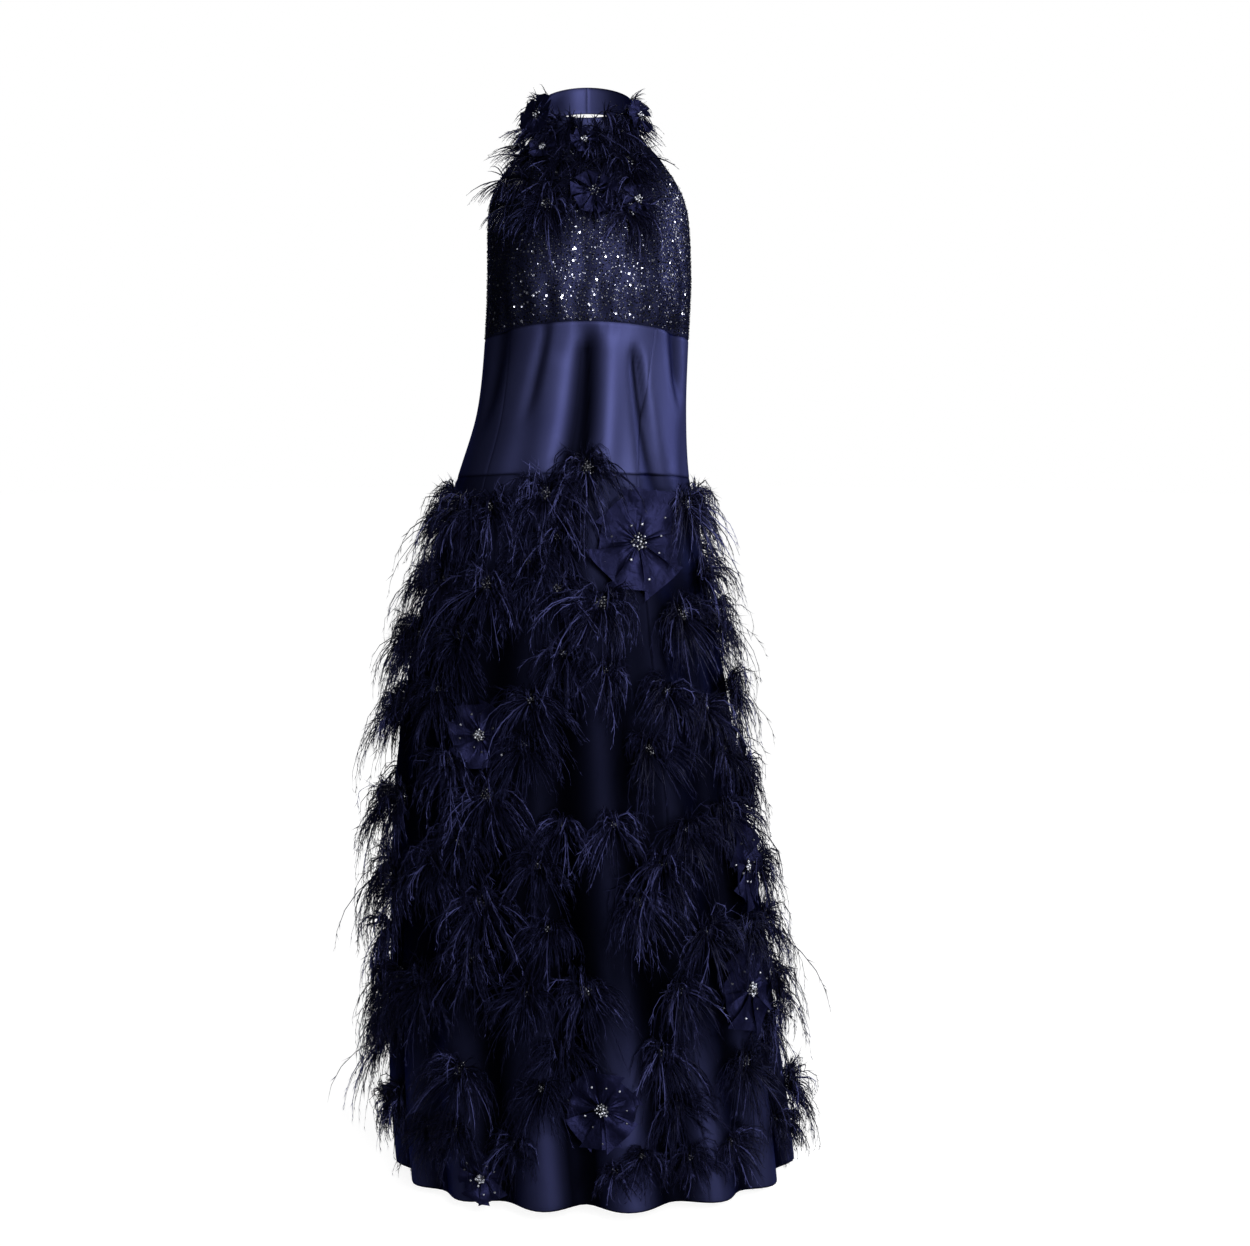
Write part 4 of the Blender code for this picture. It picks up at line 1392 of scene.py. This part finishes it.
def publish_feathers(context, name, parts, replaced=()):
    """Join strands and barbs into one piece of the gown."""
    points, triangles, quads, shade = join_parts(parts)
    mesh = array_mesh(name, points, triangles, quads)
    set_shade(mesh, shade)
    publish(name, mesh, finish_of(context, "feather"), replaced)


def publish_beads(context, name, places, scales, shades, rng):
    """Join beads into one piece of the gown."""
    mesh = beads_mesh(name, places, scales, shades, rng)
    publish(name, mesh, finish_of(context, "bead"))


def burst_parts(rng, row, radius, sizes):
    """Strands and barbs of a burst that stand round a dome of this radius."""
    bearing, height, size = row
    seat = seat_on(bearing, height)
    base = disc_rise(seat, radius * size)
    paths, lengths = burst_strands(rng, seat, base, size, sizes)
    return feather_parts(rng, seat, paths, lengths, sizes)


class GOWN_OT_bursts(bpy.types.Operator):
    """Draw the feather strands of every burst that has a solid"""

    bl_idname = "gown.bursts"
    bl_label = "Feather bursts"

    def execute(self, context):
        sizes = context.scene.gown_sizes
        for index, row in enumerate(BURSTS):
            parts = burst_parts(np.random.default_rng(100 + index), row, DOME_RADIUS, sizes)
            name = f"burst_{index + 1:02d}"
            publish_feathers(context, name + "_feathers", parts, (name,))
        return {"FINISHED"}


class GOWN_OT_fillers(bpy.types.Operator):
    """Draw the smaller bursts between the others"""

    bl_idname = "gown.fillers"
    bl_label = "Small feather bursts"

    def execute(self, context):
        sizes = context.scene.gown_sizes
        rng = np.random.default_rng(300)
        for region, rows in FILLERS.items():
            parts = []
            for row in rows:
                parts.extend(burst_parts(rng, row, SMALL_DOME_RADIUS, sizes))
            publish_feathers(context, "small_bursts_" + region, parts)
        return {"FINISHED"}


class GOWN_OT_domes(bpy.types.Operator):
    """Set the beaded dome in the middle of every burst"""

    bl_idname = "gown.domes"
    bl_label = "Beaded domes"

    def execute(self, context):
        sizes = context.scene.gown_sizes
        rng = np.random.default_rng(21)
        rows = [(*row, DOME_RADIUS) for row in BURSTS]
        rows += [(*row, SMALL_DOME_RADIUS) for group in FILLERS.values() for row in group]
        beads, cores, core_scales = [], [], []
        for bearing, height, size, radius in rows:
            seat = seat_on(bearing, height)
            base = disc_rise(seat, radius * size)
            base += YOKE_DOME_LIFT if height > YOKE_LEVEL else 0.0
            beads.append(dome_beads(rng, seat, base, radius * size, sizes.bead))
            cores.append(seat.origin + seat.out * base)
            core_scales.append(radius * size * 0.82)
        places, scales, shades = (np.concatenate(column) for column in zip(*beads))
        places = np.concatenate((places, cores))
        scales = np.concatenate((scales, core_scales))
        shades = np.concatenate((shades, np.zeros(len(cores))))
        publish_beads(context, "burst_beads", places, scales, shades, rng)
        return {"FINISHED"}


class GOWN_OT_garland(bpy.types.Operator):
    """Draw the feathers round the collar and over the yoke"""

    bl_idname = "gown.garland"
    bl_label = "Collar garland"

    def execute(self, context):
        sizes = context.scene.gown_sizes
        rng = np.random.default_rng(41)
        parts = []
        for low, high, count, level, size, strands in GARLAND:
            for spot in np.linspace(low, high, count):
                bearing = spot + rng.normal(0.0, 2.5)
                height = float(collar_base(bearing)) + level + rng.normal(0.0, 0.004)
                seat = seat_on(bearing, height)
                paths, lengths = garland_strands(rng, seat, size, strands)
                parts.extend(
                    feather_parts(rng, seat, paths, lengths, sizes, GARLAND_BARB_REACH))
        publish_feathers(context, "collar_feathers", parts, ("collar_garland",))
        return {"FINISHED"}


def garland_strands(rng, seat, size, count):
    """Strands of one tuft on the collar, most of them hanging over the yoke."""
    turn = np.where(rng.random(count) < 0.30, rng.normal(0.0, 34.0, count),
                    rng.normal(180.0, 42.0, count))
    rising = np.cos(np.radians(turn)) > 0.0
    length = np.where(rising, 0.040, 0.074) * rng.uniform(0.6, 1.1, count) * size
    lift = np.radians(rng.uniform(22.0, 62.0, count))
    bend = np.where(rising, 0.5, 0.75) * rng.uniform(0.7, 1.2, count)
    angle = np.radians(turn)
    flat = np.sin(angle)[:, None] * seat.side + np.cos(angle)[:, None] * seat.up
    heading = flat * np.cos(lift)[:, None] + seat.out * np.sin(lift)[:, None]
    down = unit(-seat.up - seat.out * 0.2 + 0.3 * np.sin(angle)[:, None] * seat.side)
    start = seat.origin + seat.out * 0.0015 + seat.side * rng.normal(0.0, 0.003, count)[:, None]
    paths = strand_paths(start, heading, down, length, bend)
    clear = rng.uniform(0.0015, 0.006, count)[:, None] * np.ones(STATIONS + 1)
    flat = lift_clear(paths.reshape(-1, 3), clear.ravel())
    return flat.reshape(paths.shape), length


def petal_grid(half_angle, inner, reach, shape, segments=(10, 8)):
    """A closed wedge of cloth, shaped by a function of its place across and along."""
    bm = bmesh.new()
    bmesh.ops.create_grid(bm, x_segments=segments[0], y_segments=segments[1], size=0.5)
    raised = bmesh.ops.extrude_face_region(bm, geom=bm.faces[:])
    outside = {item for item in raised["geom"] if isinstance(item, bmesh.types.BMVert)}
    for vert in bm.verts:
        across, along = vert.co.x * 2.0, vert.co.y + 0.5
        turn, radius, height = shape(across, along, half_angle, inner, reach)
        lift = PETAL_WALL if vert in outside else 0.0
        vert.co = (radius * math.sin(turn), radius * math.cos(turn), height + lift)
    bmesh.ops.recalc_face_normals(bm, faces=bm.faces[:])
    return bm


def wedge_shape(rng):
    """A folded wedge: pleated at its root, flat and straight-cut at its end."""
    pleats = rng.uniform(1.6, 2.6)
    phase = rng.uniform(0.0, math.tau)
    tilt = rng.uniform(0.0014, 0.0030)
    flare = rng.uniform(0.002, 0.006)
    slant = rng.uniform(-0.10, 0.10)

    def shape(across, along, half_angle, inner, reach):
        turn = across * half_angle * mix(0.75, 1.0, along)
        edge = math.cos(half_angle) / math.cos(across * half_angle) * (1.0 + slant * across)
        radius = mix(inner, reach * mix(1.0, edge, 0.85), along)
        pleat = abs((across * pleats + phase / 3) % 1.0 - 0.5) * 2.0
        height = 0.0026 * pleat * (1.0 - along) ** 0.6 * (0.4 + along) + tilt * across
        height += flare * along * along + 0.0016 * math.sin(phase + 5.0 * along + 2.0 * across)
        return turn, radius, height + 0.004
    return shape


def sew_petal(bm, petal, seat, turn, rise):
    """Turn a petal on its seat, raise each point as a function says, and add it to a mesh."""
    cos, sin = math.cos(turn), math.sin(turn)
    for vert in petal.verts:
        x, y, z = vert.co
        x, y = x * cos + y * sin, y * cos - x * sin
        vert.co = Vector(seat.origin + x * seat.side + y * seat.up + rise(x, y, z) * seat.out)
    part = bpy.data.meshes.new("petal")
    petal.to_mesh(part)
    petal.free()
    bm.from_mesh(part)
    bpy.data.meshes.remove(part)


class GOWN_OT_rosettes(bpy.types.Operator):
    """Fold the taffeta rosettes and bead their centres"""

    bl_idname = "gown.rosettes"
    bl_label = "Taffeta rosettes"

    def execute(self, context):
        depsgraph = context.evaluated_depsgraph_get()
        rng = np.random.default_rng(61)
        beads = []
        for index, (bearing, height, radius, turned) in enumerate(ROSETTES):
            name = f"rosette_{index + 1:02d}"
            seat = seat_on(bearing, height)
            solid = BVHTree.FromObject(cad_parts[name], depsgraph)

            def rise(x, y, z, solid=solid, seat=seat):
                return solid_rise(solid, seat, x, y) - PETAL_SINK + z

            bm = bmesh.new()
            for k in range(PETALS):
                half = math.radians(rng.uniform(28.0, 34.0))
                reach = radius * rng.uniform(0.92, 1.08)
                reach *= 0.84 + 0.24 * abs(math.cos(math.radians(turned + k * 360.0 / PETALS)))
                petal = petal_grid(half, radius * 0.07, reach, wedge_shape(rng))
                turn = math.radians(turned + k * 360.0 / PETALS + rng.uniform(-6.0, 6.0))
                sew_petal(bm, petal, seat, turn, rise)
            mesh = mesh_of(bm, name + "_petals", SHARP_FOLD)
            piece = publish(name + "_petals", mesh, finish_of(context, "taffeta"),
                            (name,))
            beads.append(rosette_beads(rng, solid, seat, radius))
        places, scales, shades = (np.concatenate(column) for column in zip(*beads))
        publish_beads(context, "rosette_beads", places, scales, shades, rng)
        return {"FINISHED"}


def solid_rise(solid, seat, x, y):
    """How high a rosette's solid stands over its seat, or its nearest part inside."""
    out = Vector(seat.out)
    for share in (1.0, 0.93, 0.86, 0.78, 0.66, 0.5):
        start = Vector(seat.origin + x * share * seat.side + y * share * seat.up) + out * PROBE
        hit = solid.ray_cast(start, -out, 2.0 * PROBE)
        if hit[0] is not None:
            return PROBE - hit[3]
    return 0.0


def rosette_beads(rng, solid, seat, radius):
    """A cluster at a rosette's centre, and a few larger beads over its petals."""
    spots = []
    for k in range(CENTRE_BEADS):
        reach = radius * 0.16 * math.sqrt((k + 0.4) / CENTRE_BEADS)
        angle = k * GOLDEN_TURN
        spots.append((reach * math.cos(angle), reach * math.sin(angle), 0.0020, 0.0065))
    for k in range(LOOSE_BEADS):
        reach = radius * rng.uniform(0.32, 0.86)
        angle = k * 0.70 + rng.uniform(-0.2, 0.2)
        spots.append((reach * math.cos(angle), reach * math.sin(angle), 0.0019, 0.0062))
    places, scales = [], []
    for x, y, size, lift in spots:
        rise = solid_rise(solid, seat, x, y)
        places.append(seat.origin + x * seat.side + y * seat.up + (rise + lift) * seat.out)
        scales.append(size * rng.uniform(0.75, 1.1))
    shades = rng.uniform(0.0, 0.3, len(spots))
    shades[rng.random(len(spots)) < 0.45] = 1.0
    return np.array(places), np.array(scales), shades


class GOWN_OT_flowers(bpy.types.Operator):
    """Sew the small beaded flowers on the yoke"""

    bl_idname = "gown.flowers"
    bl_label = "Yoke flowers"

    def execute(self, context):
        rng = np.random.default_rng(71)
        bm = bmesh.new()
        places, scales = [], []
        for bearing, height, length, petals in FLOWERS:
            seat = seat_on(bearing, height)
            base = disc_rise(seat, length * 0.5) + FLOWER_BASE
            for k in range(petals):
                half = math.radians(FLOWER_HALF)
                reach = length * rng.uniform(0.8, 1.05)
                petal = petal_grid(half, length * 0.08, reach, wedge_shape(rng), (6, 5))
                turn = math.tau * (k + rng.uniform(-0.2, 0.2)) / petals
                sew_petal(bm, petal, seat, turn, lambda x, y, z, base=base: base + z * 0.6)
            for k in range(FLOWER_BEADS):
                reach = length * 0.24 * math.sqrt(k / FLOWER_BEADS)
                angle = k * GOLDEN_TURN
                places.append(seat.origin + reach * math.cos(angle) * seat.side
                              + reach * math.sin(angle) * seat.up + (base + 0.005) * seat.out)
                scales.append(FLOWER_BEAD * rng.uniform(0.7, 1.2))
        mesh = mesh_of(bm, "yoke_flowers", SHARP_FOLD)
        piece = publish("yoke_flowers", mesh, finish_of(context, "taffeta"))
        shades = rng.uniform(0.0, 0.3, len(places))
        shades[rng.random(len(places)) < 0.4] = 1.0
        publish_beads(context, "yoke_beads", np.array(places), np.array(scales), shades, rng)
        return {"FINISHED"}


class GOWN_OT_stage(bpy.types.Operator):
    """Set the pale floor, the soft lights and the camera"""

    bl_idname = "gown.stage"
    bl_label = "Stage"

    def execute(self, context):
        scene = context.scene
        bm = bmesh.new()
        bmesh.ops.create_circle(bm, cap_ends=True, segments=96, radius=FLOOR_RADIUS)
        mesh = bpy.data.meshes.new("floor")
        bm.to_mesh(mesh)
        bm.free()
        mesh.materials.append(stage_finish(scene.gown_colours.floor))
        floor = bpy.data.objects.new("floor", mesh)
        floor.location.z = -NECK_HEIGHT
        scene.collection.objects.link(floor)
        scene.world = backdrop(scene.gown_colours.floor)
        for row in LIGHTS:
            add_light(scene, *row)
        camera = bpy.data.objects.new("camera", bpy.data.cameras.new("camera"))
        camera.data.lens = 55.0
        camera.data.sensor_width = 36.0
        camera.location = CAMERA_PLACE
        camera.rotation_euler = (math.radians(CAMERA_TILT), 0.0, 0.0)
        scene.collection.objects.link(camera)
        scene.camera = camera
        scene.view_settings.view_transform = "Standard"
        return {"FINISHED"}


def add_light(scene, name, place, size, power):
    """A soft square light that faces the waist of the gown."""
    data = bpy.data.lights.new(name, "AREA")
    data.energy = power
    data.size = size
    data.spread = math.radians(LIGHT_SPREAD)
    light = bpy.data.objects.new(name, data)
    light.location = place
    aim = Vector(LIGHT_AIM) - Vector(place)
    light.rotation_euler = aim.to_track_quat("-Z", "Y").to_euler()
    scene.collection.objects.link(light)


def stage_finish(colour):
    """Pale floor that takes a soft shadow."""
    material = bpy.data.materials.new("pale_floor")
    material.use_nodes = True
    tree = material.node_tree
    tree.nodes.clear()
    seen = node(tree, "ShaderNodeLightPath")
    glow = node(tree, "ShaderNodeEmission", Color=(*colour, 1.0))
    place = node(tree, "ShaderNodeTexCoord")
    away = node(tree, "ShaderNodeVectorMath", operation="LENGTH")
    fade = node(tree, "ShaderNodeMapRange", interpolation_type="SMOOTHSTEP",
                From_Min=0.9, From_Max=2.6, To_Min=0.90, To_Max=1.0)
    matt = node(tree, "ShaderNodeBsdfDiffuse", Color=(0.35, 0.35, 0.35, 1.0))
    dull = node(tree, "ShaderNodeBsdfDiffuse", Color=(0.30, 0.30, 0.32, 1.0))
    lit = node(tree, "ShaderNodeAddShader")
    choice = node(tree, "ShaderNodeMixShader")
    out = node(tree, "ShaderNodeOutputMaterial")
    join(
        tree,
        (place.outputs["Object"], away.inputs[0]),
        (away.outputs["Value"], fade.inputs["Value"]),
        (fade.outputs["Result"], glow.inputs["Strength"]),
        (glow.outputs[0], lit.inputs[0]),
        (matt.outputs[0], lit.inputs[1]),
        (seen.outputs["Is Camera Ray"], choice.inputs[0]),
        (dull.outputs[0], choice.inputs[1]),
        (lit.outputs[0], choice.inputs[2]),
        (choice.outputs[0], out.inputs["Surface"]),
    )
    return material


def backdrop(colour):
    """Plain white surroundings that light the gown only dimly."""
    world = bpy.data.worlds.new("backdrop")
    world.use_nodes = True
    tree = world.node_tree
    tree.nodes.clear()
    seen = node(tree, "ShaderNodeLightPath")
    white = node(tree, "ShaderNodeBackground", Color=(*colour, 1.0), Strength=1.0)
    dim = node(tree, "ShaderNodeBackground", Color=(0.75, 0.80, 1.0, 1.0), Strength=0.015)
    choice = node(tree, "ShaderNodeMixShader")
    out = node(tree, "ShaderNodeOutputWorld")
    join(
        tree,
        (seen.outputs["Is Camera Ray"], choice.inputs[0]),
        (dim.outputs[0], choice.inputs[1]),
        (white.outputs[0], choice.inputs[2]),
        (choice.outputs[0], out.inputs["Surface"]),
    )
    return world


OPERATORS = (
    GOWN_OT_cloth,
    GOWN_OT_sequins,
    GOWN_OT_rosettes,
    GOWN_OT_bursts,
    GOWN_OT_fillers,
    GOWN_OT_domes,
    GOWN_OT_garland,
    GOWN_OT_flowers,
    GOWN_OT_stage,
)


class GOWN_PT_panel(bpy.types.Panel):
    """Lists the gown's pieces and their sizes"""

    bl_idname = "GOWN_PT_panel"
    bl_label = "Gown"
    bl_space_type = "VIEW_3D"
    bl_region_type = "UI"
    bl_category = "Gown"

    def draw(self, context):
        for operator in OPERATORS:
            self.layout.operator(operator.bl_idname)
        for group in (context.scene.gown_sizes, context.scene.gown_colours):
            for name in group.__annotations__:
                self.layout.prop(group, name)


CLASSES = (GownSizes, GownColours, *OPERATORS, GOWN_PT_panel)


def register():
    for made in CLASSES:
        bpy.utils.register_class(made)
    bpy.types.Scene.gown_sizes = bpy.props.PointerProperty(type=GownSizes)
    bpy.types.Scene.gown_colours = bpy.props.PointerProperty(type=GownColours)


def unregister():
    del bpy.types.Scene.gown_sizes
    del bpy.types.Scene.gown_colours
    for made in reversed(CLASSES):
        bpy.utils.unregister_class(made)


def main():
    register()
    for operator in OPERATORS:
        group, name = operator.bl_idname.split(".")
        getattr(getattr(bpy.ops, group), name)()


if __name__ == "__main__":
    main()
